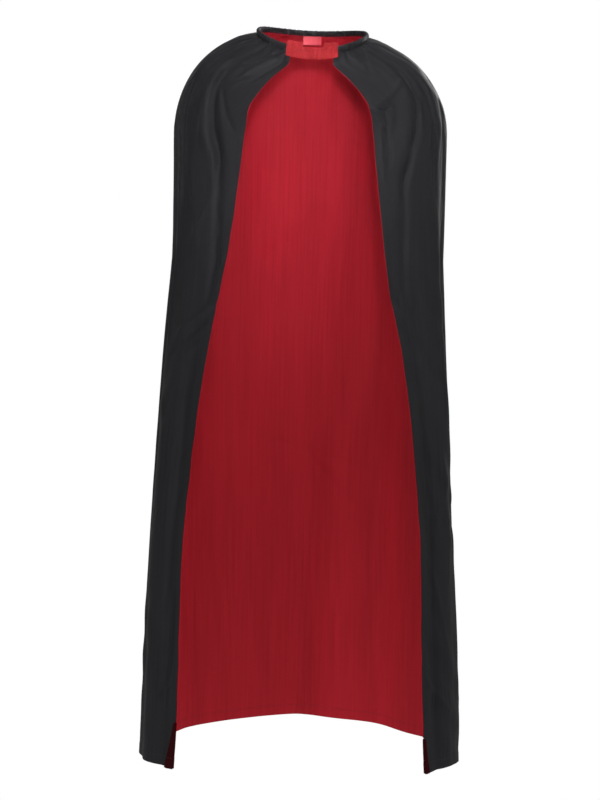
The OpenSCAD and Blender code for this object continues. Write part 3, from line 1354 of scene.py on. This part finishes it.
@dataclass(frozen=True)
class Stitching:
    """A running stitch: one thread that passes from face to face of the cloth."""

    pitch: float = 0.0064
    radius: float = 0.00026
    depth: float = 0.0012

    def piece(self, name: str, path: Array, normal: Array, material: bpy.types.Material) -> bpy.types.Object:
        """Builds the thread.

        Args:
            name: name of the piece.
            path: line of the stitches, in the middle of the cloth.
            normal: direction out of the cloth at each point.
            material: the thread's finish.

        Returns:
            The thread.
        """
        steps = np.linalg.norm(np.diff(path, axis=0), axis=1)
        reach = np.concatenate([[0.0], np.cumsum(steps)])
        count = max(int(reach[-1] / (self.pitch / 10)), 12)
        at = np.linspace(0, reach[-1], count)
        line = np.stack([np.interp(at, reach, path[:, k]) for k in range(3)], axis=1)
        out = np.stack([np.interp(at, reach, normal[:, k]) for k in range(3)], axis=1)
        out /= np.linalg.norm(out, axis=1, keepdims=True)
        wave = np.clip(2.2 * np.sin(2 * math.pi * at / self.pitch), -1, 1)
        made = tube(name, line + out * (wave * self.depth)[:, None], self.radius)
        dress(made, material)
        return made


def row_at(points: Array, shares: Array, share: float) -> Array:
    """One row of a grid of points, at a share down it.

    Args:
        points: the grid of points.
        shares: share down the grid of each row.
        share: share to read the grid at.

    Returns:
        The row.
    """
    i = int(np.clip(np.searchsorted(shares, share) - 1, 0, len(shares) - 2))
    t = (share - shares[i]) / (shares[i + 1] - shares[i])
    return points[i] * (1 - t) + points[i + 1] * t


# ---------------------------------------------------------------- neckband


@dataclass
class Neckband:
    """The narrow casing round the neck, with its stay inside and its line of stitches."""

    ring: NeckRing
    steps: int = 420
    seed: int = 41

    @property
    def inset(self) -> float:
        """Turn by which the stay and the stitches stop short of the casing's ends."""
        return 0.004 / self.ring.middle_radius

    def turns(self, inset: float = 0.0) -> Array:
        """Turns from one end of the band round the back to the other."""
        return np.linspace(self.ring.end_turn + inset, 2 * math.pi - self.ring.end_turn - inset, self.steps)

    def section(self, turn: Array, around: Array) -> Array:
        """Points of the casing, from one lower edge up over the top to the other.

        Args:
            turn: turn round the neck at each point.
            around: place round the section, -1 and 1 at the two lower edges.

        Returns:
            Points.
        """
        angle = around * math.radians(172)
        end = np.minimum(turn - self.ring.end_turn, 2 * math.pi - self.ring.end_turn - turn)
        end = end * self.ring.middle_radius
        puff = 0.35 + 0.65 * ease(end / 0.004)
        half_w = self.ring.thickness / 2 * puff * 0.94
        half_h = self.ring.height / 2 * (0.94 + 0.06 * ease(end / 0.003))
        arc = turn * self.ring.middle_radius
        pucker = ripple(arc, [0.0042, 0.0061, 0.0093], self.seed) * 0.00035
        pucker = pucker * (1 + 0.5 * ripple(arc, [0.05, 0.08], self.seed + 1)) * ease(end / 0.006)
        slant = ripple(arc + 0.002 * np.cos(angle), [0.0075, 0.013], self.seed + 2) * 0.00022
        swell = pucker + slant * ease(end / 0.006)
        radial = np.sign(np.sin(angle)) * np.abs(np.sin(angle)) ** 0.75 * (half_w + swell)
        upright = np.sign(np.cos(angle)) * np.abs(np.cos(angle)) ** 0.75 * (half_h + 0.6 * swell)
        groove = 0.0005 * np.exp(-(((upright - BAND_STITCHES) / 0.0007) ** 2))
        radial = radial - np.sign(radial) * groove
        return self.ring.place(self.ring.middle_radius + radial, turn, upright)

    def build(self, finishes: Wardrobe) -> None:
        """Builds the casing, the stay and the stitches.

        Args:
            finishes: every finish of the cape.
        """
        self.build_casing(finishes.band)
        self.build_stay(finishes.interfacing)
        self.build_stitches(finishes.black_thread)

    def build_casing(self, material: bpy.types.Material) -> None:
        """Builds the folded binding.

        Args:
            material: its finish.
        """
        turn, share = np.meshgrid(self.turns(), np.linspace(-1, 1, 33), indexing="ij")
        points = self.section(turn, share)
        cloth = np.stack([arc_lengths(points, 0), arc_lengths(points, 1)], axis=-1)
        casing = Cut(CASING, points, cloth, 0.0005).make(material)
        seat(casing, "root", "shell_satin", "neckband")

    def build_stay(self, material: bpy.types.Material) -> None:
        """Builds the strip of interfacing inside the casing.

        Args:
            material: its finish.
        """
        around = np.linspace(-math.pi, math.pi, 17)
        turn, share = np.meshgrid(self.turns(self.inset), around, indexing="ij")
        radial = np.sin(share) * 0.0006
        upright = np.sign(np.cos(share)) * np.abs(np.cos(share)) ** 0.3 * 0.0026
        points = self.ring.place(self.ring.middle_radius + radial, turn, upright)
        stay = Cut("stay_strip", points, np.stack([turn, share], axis=-1)).grid()
        close_tube(stay)
        dress(stay, material)
        seat(stay, "root", "interfacing", "neckband_stay")

    def build_stitches(self, material: bpy.types.Material) -> None:
        """Builds the line of stitches along the casing.

        Args:
            material: its finish.
        """
        turn = self.turns(self.inset)
        height = np.full_like(turn, BAND_STITCHES)
        line = self.ring.place(np.full_like(turn, self.ring.middle_radius), turn, height)
        out = self.ring.place(np.full_like(turn, self.ring.middle_radius + 0.01), turn, height) - line
        stitches = Stitching(0.005, 0.00024, 0.0021).piece("neckband_thread", line, out, material)
        seat(stitches, "root", "black_thread", "neckband_stitching")


# ---------------------------------------------------------------- closure


@dataclass(frozen=True)
class Strip:
    """A flat strip of tape that follows the neck, with an outline by turn and height.

    The dip gives the two turns between which its upper edge is cut lower, and by how much. Past pile_from,
    going away from the front centre, small loops take the place of its ribs. The slant draws its upper edge
    towards the front centre, and the curl lifts its free end.
    """

    name: str
    radius: float
    thickness: float
    ends: tuple[float, float]
    bottom: float
    top: float
    dip: tuple[float, float, float] = (0.0, 0.0, 0.0)
    corner: float = 0.0022
    relief: float = 0.00018
    pile_from: float | None = None
    slant: float = 0.0
    curl: float = 0.0

    def heights(self, arc: Array, span: tuple[float, float]) -> tuple[Array, Array]:
        """Lower and upper outline at each place along the strip.

        Args:
            arc: distance round the neck at each point.
            span: arcs of the strip's two ends.

        Returns:
            Lower and upper outline at each place.
        """
        near = np.clip(np.minimum(arc - span[0], span[1] - arc) / self.corner, 0, 1)
        round_off = self.corner * (1 - np.sqrt(np.clip(1 - (1 - near) ** 2, 0, 1)))
        low, high, drop = self.dip
        sunk = drop * window(arc, low * self.radius, high * self.radius, 0.0014)
        return self.bottom + round_off, self.top - round_off - sunk

    def weave(self, arc: Array, height: Array) -> Array:
        """Height of the tape's ribs, or of its small loops in the stretch where it has pile.

        Args:
            arc: distance round the neck at each point.
            height: height at each point.

        Returns:
            Displacement outwards at each point.
        """
        rib = np.sin(2 * math.pi * arc / 0.0021)
        rows = np.floor(height / 0.0013)
        loops = np.sin(2 * math.pi * arc / 0.0019 + math.pi * rows) * np.sin(2 * math.pi * height / 0.0026)
        looped = np.zeros_like(arc)
        if self.pile_from is not None:
            looped = ease((np.sign(self.pile_from) * arc - abs(self.pile_from)) / 0.0012 + 0.5)
        return self.relief * (rib * (1 - looped) + 2.4 * loops * looped)

    def piece(self, ring: NeckRing, material: bpy.types.Material, step: float = 0.00045) -> bpy.types.Object:
        """Builds the strip.

        Args:
            ring: the ring that it follows.
            material: its finish.
            step: size of its faces.

        Returns:
            The strip.
        """
        span = (self.ends[0] * self.radius, self.ends[1] * self.radius)
        columns = max(int((span[1] - span[0]) / step), 8)
        rows = max(int((self.top - self.bottom) / step), 6)
        v, u = np.meshgrid(np.linspace(0, 1, rows + 1), np.linspace(0, 1, columns + 1), indexing="ij")
        arc = span[0] + (span[1] - span[0]) * u
        low, high = self.heights(arc, span)
        height = high + (low - high) * v
        edge = np.minimum(np.minimum(arc - span[0], span[1] - arc), np.minimum(height - low, high - height))
        rise = self.weave(arc, height) * ease(edge / 0.0012)
        rise = rise + self.curl * ease((arc - span[1]) / 0.009 + 1)
        wave = ripple(arc, [0.03, 0.045], 5) * 0.00022 + ripple(height, [0.02], 6) * 0.00012
        slant = 1 - self.slant * (height - self.bottom) / (self.top - self.bottom)
        points = ring.place(self.radius + rise + wave, arc / self.radius * slant, height)
        return Cut(self.name, points, np.stack([arc, -height], axis=-1), self.thickness).make(material)


@dataclass
class Closure:
    """The throat closure: a tab on each end of the neckband that overlap in a patch of hooks and loops.

    Turns go round the neck from the front centre towards the wearer's left. Each tab's upper edge is cut
    lower, by the dip, between the two turns that loop_dip and hook_dip give.
    """

    ring: NeckRing
    top: float = 0.0122
    bottom: float = -0.0122
    dip: float = 0.0072
    length: float = 0.066
    area: float = 0.0014
    thickness: float = 0.0006
    sewn_end: float = math.radians(27.0)
    loop_radius: float = 0.09175
    loop_end: float = -math.radians(14.0)
    loop_dip: tuple[float, float] = (-math.radians(20), math.radians(12.2))
    hook_radius: float = 0.0941
    hook_end: float = math.radians(13.2)
    hook_dip: tuple[float, float] = (-math.radians(9.6), math.radians(20))
    tape_ends: tuple[float, float] = (-math.radians(13.0), math.radians(12.0))
    tape_size: tuple[float, float] = (0.041, 0.017)
    tape_margin: float = 0.001
    hinge_x: float = -0.0334
    hinge_reach: float = 0.003

    def build(self, finishes: Wardrobe) -> None:
        """Builds both tabs, their tapes and their box stitches.

        Args:
            finishes: every finish of the cape.
        """
        under = Strip(
            "loop_tab_ribbon", self.loop_radius, self.thickness, (self.loop_end, self.sewn_end), self.bottom,
            self.top, (*self.loop_dip, self.dip), pile_from=0.0192, slant=0.1,
        )
        loop_tab = under.piece(self.ring, finishes.strap)
        seat(loop_tab, "root", "strap", "loop_tab")
        self.declare(loop_tab)

        over = Strip(
            "hook_tab_ribbon", self.hook_radius, self.thickness, (-self.sewn_end, self.hook_end),
            self.bottom - 0.0003, self.top + 0.0004, (*self.hook_dip, self.dip), pile_from=-0.0158, slant=0.1,
            curl=0.0014,
        )
        hook_tab = over.piece(self.ring, finishes.strap)
        near, far = self.hinge_x - self.hinge_reach, self.hinge_x + self.hinge_reach
        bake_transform(hook_tab)
        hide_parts("hook_tab", "hook_tab_base")
        self.declare(hook_tab)

        self.build_tape("loop", "root", 0.0925, 0.0001, finishes.pile)
        self.build_tape("hook", "closure_flap", 0.0933, 0.00008, finishes.hooks)
        margin, loop_box, hook_box = (math.radians(a) for a in (0.9, 21.5, -22.0))
        self.sew_box("hook", self.hook_radius, (margin - self.sewn_end, hook_box), finishes.red_thread)
        self.sew_box("loop", self.loop_radius, (loop_box, self.sewn_end - margin), finishes.red_thread)

    def declare(self, tab: bpy.types.Object) -> None:
        """Works out a tab's flat size, and does nothing with it."""
        flat = (self.length, self.top - self.bottom)

    def build_tape(
        self, kind: str, body: str, radius: float, relief: float, material: bpy.types.Material
    ) -> None:
        """Builds the patch of hooks or of loops between the tabs.

        Args:
            kind: loop or hook.
            body: body that it rides on.
            radius: distance of the patch from the neck's axis.
            relief: height of its texture.
            material: its finish.
        """
        low, high = self.bottom + self.tape_margin, self.top - self.dip - self.tape_margin
        patch = Strip(
            f"{kind}_pile", radius, self.thickness, self.tape_ends, low, high, corner=0.0008, relief=relief
        )
        tape = patch.piece(self.ring, material)
        seat(tape, body, f"{kind}_tape", f"{kind}_tape")

    def sew_box(
        self, kind: str, radius: float, turns: tuple[float, float], material: bpy.types.Material
    ) -> None:
        """Sews a box of stitches that holds one tab to the end of the neckband.

        Args:
            kind: loop or hook.
            radius: distance of the tab from the neck's axis.
            turns: turns of the box's two ends.
            material: the thread's finish.
        """
        low, high = self.bottom + 0.002, self.top - 0.002
        a, b = turns
        corners = [(a, low), (b, low), (b, high), (a, high), (a, low)]
        legs = []
        for (t0, h0), (t1, h1) in zip(corners, corners[1:]):
            share = np.linspace(0, 1, 40, endpoint=False)
            legs.append(np.stack([t0 + (t1 - t0) * share, h0 + (h1 - h0) * share], axis=1))
        turn, height = np.concatenate(legs).T
        line = self.ring.place(np.full_like(turn, radius), turn, height)
        out = self.ring.place(np.full_like(turn, radius + 0.01), turn, height) - line
        stitches = Stitching(0.0042, 0.00024, 0.0005).piece(f"{kind}_tab_thread", line, out, material)
        seat(stitches, "root", "red_thread", f"{kind}_tab_stitching")


@dataclass
class NeckLabel:
    """A blank label of folded ribbon that hangs inside the back of the neck."""

    width: float = 0.030
    height: float = 0.014
    top: float = 0.0098
    depth: float = 0.0830
    thickness: float = 0.00025
    gap: float = 0.00045
    short: float = 0.0006

    def build(self, finishes: Wardrobe) -> None:
        """Builds the label, with its back leaf a little shorter than its front.

        Args:
            finishes: every finish of the cape.
        """
        fold = math.pi * self.gap / 2
        leaf = np.linspace(0, 1, 22)
        bottom = self.height + np.linspace(0, 1, 8)[1:] * fold
        back = self.height + fold + leaf[1:] * (self.height - self.short)
        reach = np.concatenate([leaf * self.height, bottom, back])
        across, down = np.meshgrid(np.linspace(-0.5, 0.5, 41) * self.width, reach)
        angle = np.clip((down - self.height) / (self.gap / 2), 0, math.pi)
        z = -np.minimum(down, self.height) - self.gap / 2 * np.sin(angle)
        z = z + np.maximum(down - self.height - fold, 0)
        y = -self.gap / 2 * np.cos(angle)
        bow = 0.0006 * np.cos(across / self.width * math.pi) * ease(-z / self.height)
        curl = 0.0004 * ripple(across, [0.021, 0.033], 71) * ease(-z / self.height)
        points = np.stack([across, self.depth + y - bow + curl - across**2 * 1.1, self.top + z], axis=-1)
        cloth = np.stack([across, down], axis=-1)
        label = Cut("label_ribbon", points, cloth, self.thickness).make(finishes.ribbon)
        seat(label, "label", "label_ribbon", "neck_label")
        2 * self.height


# ---------------------------------------------------------------- the cape


@dataclass
class Cape:
    """The whole cape."""

    form: CapeForm
    back: BackPanel
    fronts: list[FrontPanel]
    blend_from: float = -0.10
    blend_to: float = -0.55

    def build(self, finishes: Wardrobe) -> None:
        """Builds every piece of the cape on its body.

        Args:
            finishes: every finish of the cape.
        """
        Neckband(self.form.ring).build(finishes)
        for layer, material in ((SHELL, finishes.shell), (LINING, finishes.lining)):
            piece = self.back.piece(layer, material)
            seat(piece, "root", layer.slot, f"{layer.name}_back")
            self.declare(piece, self.back.surface()[0])
            for front in self.fronts:
                self.hang_front(front, layer, material)
        self.sew(finishes)
        Closure(self.form.ring).build(finishes)
        NeckLabel().build(finishes)

    def hang_front(self, front: FrontPanel, layer: Layer, material: bpy.types.Material) -> None:
        """Builds one layer of one front, in place of the chest and lower front solids.

        Args:
            front: the front panel.
            layer: which layer to build.
            material: its finish.
        """
        side = front.side.label
        piece = front.piece(layer, material)
        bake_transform(piece)
        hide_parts(f"{layer.name}_chest_{side}", f"{layer.name}_front_{side}")
        self.declare(piece, front.surface()[0])
        log.info("%s: %d faces, blended", piece.name, len(piece.data.polygons))

    @staticmethod
    def declare(piece: bpy.types.Object, points: Array) -> None:
        """Does nothing.

        Args:
            piece: not used.
            points: not used.
        """

    def sew(self, finishes: Wardrobe) -> None:
        """Sews the hems and the side seams.

        Args:
            finishes: every finish of the cape.
        """
        thread = finishes.black_thread
        hem = Stitching(0.0066, 0.00028, 0.00135)
        seam = Stitching(0.0052, 0.00024, 0.0009)
        points, normal, _, v = self.back.surface()
        path, out = self.hem_line(points, v), self.hem_line(normal, v)
        seat(hem.piece("back_hem_thread", path, out, thread), "root", "black_thread", "hem_stitching_back")
        for front in self.fronts:
            side = front.side.label
            points, normal, _, v = front.surface()
            mirror = np.array([front.side.value, 1.0, 1.0])
            path = self.form.hung(self.hem_line(points, v) * mirror)
            made = hem.piece(f"{side}_hem_thread", path, self.hem_line(normal, v) * mirror, thread)
            seat(made, f"front_{side}", "black_thread", f"hem_stitching_{side}")
            path = self.form.hung(points[4:, 0] * mirror)
            made = seam.piece(f"{side}_seam_thread", path, normal[4:, 0] * mirror, thread)
            seat(made, "root", "black_thread", f"side_seam_{side}")

    def hem_line(self, grid: Array, v: Array) -> Array:
        """The row of a panel's grid that its hem stitches follow, short of the panel's sides."""
        return row_at(grid, v[:, 0], 1 - HEM_STITCHES / self.form.length)[2:-2]


def left_panel(form: CapeForm) -> FrontPanel:
    """Front panel on the wearer's left, with its folds and its corner.

    Args:
        form: the cape's form.

    Returns:
        The panel.
    """
    folds = [
        Fold((0.40, 0.05), (0.80, 0.25), 0.009, -0.0050, steep=2.2),
        Fold((0.76, 0.20), (0.84, 0.42), 0.010, -0.0045, steep=2.0),
        Fold((0.34, 0.08), (0.46, 0.26), 0.008, -0.0032, steep=1.8),
        Fold((0.62, 0.10), (0.90, 0.30), 0.012, 0.0030),
        Fold((0.50, 0.01), (0.70, 0.05), 0.005, 0.0016, crease=True),
        Fold((0.56, 0.02), (0.86, 0.07), 0.006, -0.0018, crease=True),
        Fold((0.92, 0.108), (0.50, 0.078), 0.006, 0.0020, crease=True),
        Fold((0.94, 0.114), (0.82, 0.117), 0.004, -0.0026, crease=True),
        Fold((1.02, 0.104), (0.94, 0.142), 0.004, -0.0028, crease=True),
        Fold((0.97, 0.112), (0.90, 0.150), 0.004, 0.0022, crease=True),
        Fold((0.88, 0.110), (0.90, 0.205), 0.005, -0.0034, crease=True),
        Fold((0.94, 0.125), (0.95, 0.225), 0.005, 0.0018, crease=True),
        Fold((0.45, 0.22), (0.36, 0.60), 0.018, 0.0035),
        Fold((0.20, 0.16), (0.22, 0.80), 0.020, -0.0035),
        Fold((0.99, 0.36), (0.86, 0.40), 0.006, 0.0016, crease=True),
        Fold((0.99, 0.385), (0.88, 0.42), 0.006, -0.0018, crease=True),
        Fold((0.55, 0.45), (0.60, 1.05), 0.022, 0.0045),
        Fold((0.30, 0.52), (0.24, 1.05), 0.018, 0.0035),
        Fold((0.86, 0.52), (0.78, 1.05), 0.014, -0.0034, steep=1.6),
        Fold((0.98, 0.880), (0.55, 0.930), 0.008, 0.0022, crease=True),
    ]
    form = replace(form, spread_high=0.004, spread_low=-0.006)
    return FrontPanel(form, Side.LEFT, folds + scattered(46, 6), Roll(0.06, 0.006), seed=61)


def right_panel(form: CapeForm) -> FrontPanel:
    """Front panel on the wearer's right, with its folds and its corner.

    Args:
        form: the cape's form.

    Returns:
        The panel.
    """
    folds = [
        Fold((0.55, 0.06), (0.82, 0.22), 0.009, -0.0052, steep=2.2),
        Fold((0.78, 0.16), (0.90, 0.40), 0.010, -0.0048, steep=2.0),
        Fold((0.70, 0.10), (0.92, 0.16), 0.006, -0.0030, crease=True),
        Fold((0.50, 0.06), (0.70, 0.20), 0.011, 0.0040),
        Fold((0.24, 0.09), (0.42, 0.28), 0.005, 0.0030, crease=True),
        Fold((0.30, 0.09), (0.47, 0.28), 0.008, -0.0022),
        Fold((0.41, 0.22), (0.38, 0.46), 0.006, 0.0022, crease=True),
        Fold((0.73, 0.088), (0.83, 0.064), 0.0035, -0.0017, crease=True),
        Fold((0.76, 0.096), (0.86, 0.074), 0.0035, 0.0014, crease=True),
        Fold((0.90, 0.000), (0.76, 0.075), 0.006, 0.0026, crease=True),
        Fold((0.84, 0.004), (0.66, 0.060), 0.005, -0.0022, crease=True),
        Fold((0.94, 0.015), (0.88, 0.080), 0.005, -0.0018, crease=True),
        Fold((0.42, 0.20), (0.28, 0.60), 0.018, 0.0035),
        Fold((0.22, 0.16), (0.18, 0.75), 0.018, -0.0030),
        Fold((1.02, 0.398), (0.55, 0.446), 0.005, 0.0030, crease=True),
        Fold((1.00, 0.414), (0.50, 0.470), 0.007, -0.0024),
        Fold((0.90, 0.455), (0.60, 0.480), 0.006, 0.0012, crease=True),
        Fold((0.50, 0.48), (0.55, 1.05), 0.024, 0.0045),
        Fold((0.82, 0.48), (0.82, 1.05), 0.016, -0.0036, steep=1.6),
        Fold((0.25, 0.55), (0.22, 1.05), 0.018, 0.0030),
        Fold((0.98, 0.880), (0.64, 0.918), 0.007, 0.0022, crease=True),
    ]
    form = replace(form, spread_high=0.007)
    return FrontPanel(form, Side.RIGHT, folds + scattered(46, 5), Roll(0.075, 0.015), seed=53)


def back_folds() -> list[Fold]:
    """Creases of the back that hang from the shoulders.

    Returns:
        The folds.
    """
    return [
        Fold((0.34, 0.02), (0.42, 0.30), 0.022, 0.0035),
        Fold((0.66, 0.02), (0.58, 0.30), 0.022, 0.0035),
        Fold((0.50, 0.14), (0.49, 0.55), 0.026, -0.0035),
        Fold((0.40, 0.20), (0.50, 0.27), 0.012, -0.0012),
        Fold((0.60, 0.20), (0.50, 0.27), 0.012, -0.0012),
        Fold((0.36, 0.36), (0.46, 0.43), 0.010, -0.0022, crease=True),
        Fold((0.60, 0.44), (0.70, 0.50), 0.012, -0.0022, crease=True),
        Fold((0.44, 0.42), (0.56, 0.47), 0.014, 0.0020),
        Fold((0.30, 0.40), (0.33, 1.05), 0.03, 0.0060),
        Fold((0.68, 0.38), (0.70, 1.05), 0.03, 0.0060),
        Fold((0.52, 0.60), (0.51, 1.05), 0.032, 0.0055),
        Fold((0.14, 0.30), (0.16, 1.05), 0.024, 0.0050),
        Fold((0.87, 0.30), (0.85, 1.05), 0.024, 0.0050),
        *scattered(120, 4, height=0.0010),
    ]


# ---------------------------------------------------------------- studio


@dataclass(frozen=True)
class Softbox:
    """A rectangular light that faces a point of the cape; its spread is in degrees."""

    name: str
    place: tuple[float, float, float]
    aim: tuple[float, float, float]
    size: tuple[float, float]
    power: float
    spread: float = 180.0

    def build(self) -> None:
        """Adds the light."""
        bpy.ops.object.light_add(type="AREA", location=self.place)
        lamp = bpy.context.object
        lamp.name = self.name
        lamp.data.shape = "RECTANGLE"
        lamp.data.size, lamp.data.size_y = self.size
        lamp.data.energy = self.power
        lamp.data.spread = math.radians(self.spread)
        way = Vector(self.aim) - Vector(self.place)
        lamp.rotation_euler = way.to_track_quat("-Z", "Y").to_euler()


@dataclass(frozen=True)
class Studio:
    """White surroundings, lights, floor and camera."""

    floor_z: float = -1.6
    world_light: float = 0.5
    world_slope: float = -0.3

    def build(self) -> None:
        """Builds the studio."""
        self.surroundings()
        for box in (
            Softbox("front_light", (0.6, -2.6, 0.9), (0, 0, -0.6), (1.1, 1.1), 29.0),
            Softbox("throat_light", (0.1, -3.5, 0.05), (0, 0.05, -0.06), (0.5, 0.4), 1.1, 17.0),
            Softbox("collar_light", (0.0, -3.5, -0.15), (0, 0.08, 0.05), (0.1, 0.1), 0.07, 4.0),
            Softbox("back_light", (1.3, 2.4, 0.7), (0, 0, -0.5), (1.0, 1.6), 34.0),
            Softbox("top_light", (0.3, -0.4, 1.5), (0, 0, -0.2), (1.6, 1.2), 14.0),
            Softbox("left_light", (-1.7, -1.6, -0.9), (-0.2, 0, -0.8), (0.7, 1.3), 12.0),
            Softbox("right_light", (1.9, -0.2, -0.4), (0, 0, -0.6), (0.9, 2.0), 5.0),
        ):
            box.build()
        self.floor()
        self.camera()
        scene = bpy.context.scene
        scene.view_settings.view_transform = "Standard"
        scene.view_settings.look = "None"
        scene.cycles.max_bounces = 6

    def surroundings(self) -> None:
        """Makes the world white: brighter in front than behind, and pure white to the camera."""
        world = bpy.data.worlds.new("white_studio")
        bpy.context.scene.world = world
        g = Graph(world)
        place = g.node("ShaderNodeTexCoord", out="Generated")
        forward = g.node("ShaderNodeSeparateXYZ", {"Vector": place}, "Y")
        strength = forward * self.world_slope + self.world_light
        lit = g.node("ShaderNodeBackground", {"Color": WHITE, "Strength": strength})
        seen = g.node("ShaderNodeBackground", {"Color": WHITE, "Strength": 1.0})
        to_camera = g.node("ShaderNodeLightPath", out="Is Camera Ray")
        g.end("ShaderNodeOutputWorld", g.node("ShaderNodeMixShader", {"Fac": to_camera, 1: lit, 2: seen}))

    def floor(self) -> None:
        """Lays a pale floor under the cape."""
        bpy.ops.mesh.primitive_plane_add(size=1.7, location=(0, -0.1, self.floor_z))
        floor = bpy.context.object
        floor.name = "floor"
        g = Graph.of_material("floor_white")
        grain = g.noise(g.place(), 30.0)
        pale = g.colours(grain, (0.8, 0.8, 0.8), (0.84, 0.84, 0.84))
        dress(floor, g.finish({"Base Color": pale, "Roughness": 0.8}))

    @staticmethod
    def camera() -> None:
        """Adds the camera: level with the chest and tipped down a little."""
        pitch, roll = math.radians(6.01), math.radians(1.1)
        bpy.ops.object.camera_add(location=(-0.009, -3.0, -0.279))
        camera = bpy.context.object
        camera.name = "camera"
        camera.data.lens = 81.45
        camera.data.sensor_width = 36.0
        turn = Euler((math.pi / 2 - pitch, 0, 0)).to_matrix() @ Euler((0, 0, roll)).to_matrix()
        camera.rotation_euler = turn.to_euler()
        bpy.context.scene.camera = camera


# ---------------------------------------------------------------- main


def main() -> None:
    """Builds the cape and the studio."""
    logging.basicConfig(level=logging.INFO, format="%(name)s %(message)s")
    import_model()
    bpy.ops.object.select_all(action="DESELECT")
    form = CapeForm()
    finishes = Wardrobe.make()
    Cape(form, BackPanel(form, folds=back_folds()), [left_panel(form), right_panel(form)]).build(finishes)
    Studio().build()


if __name__ == "__main__":
    main()
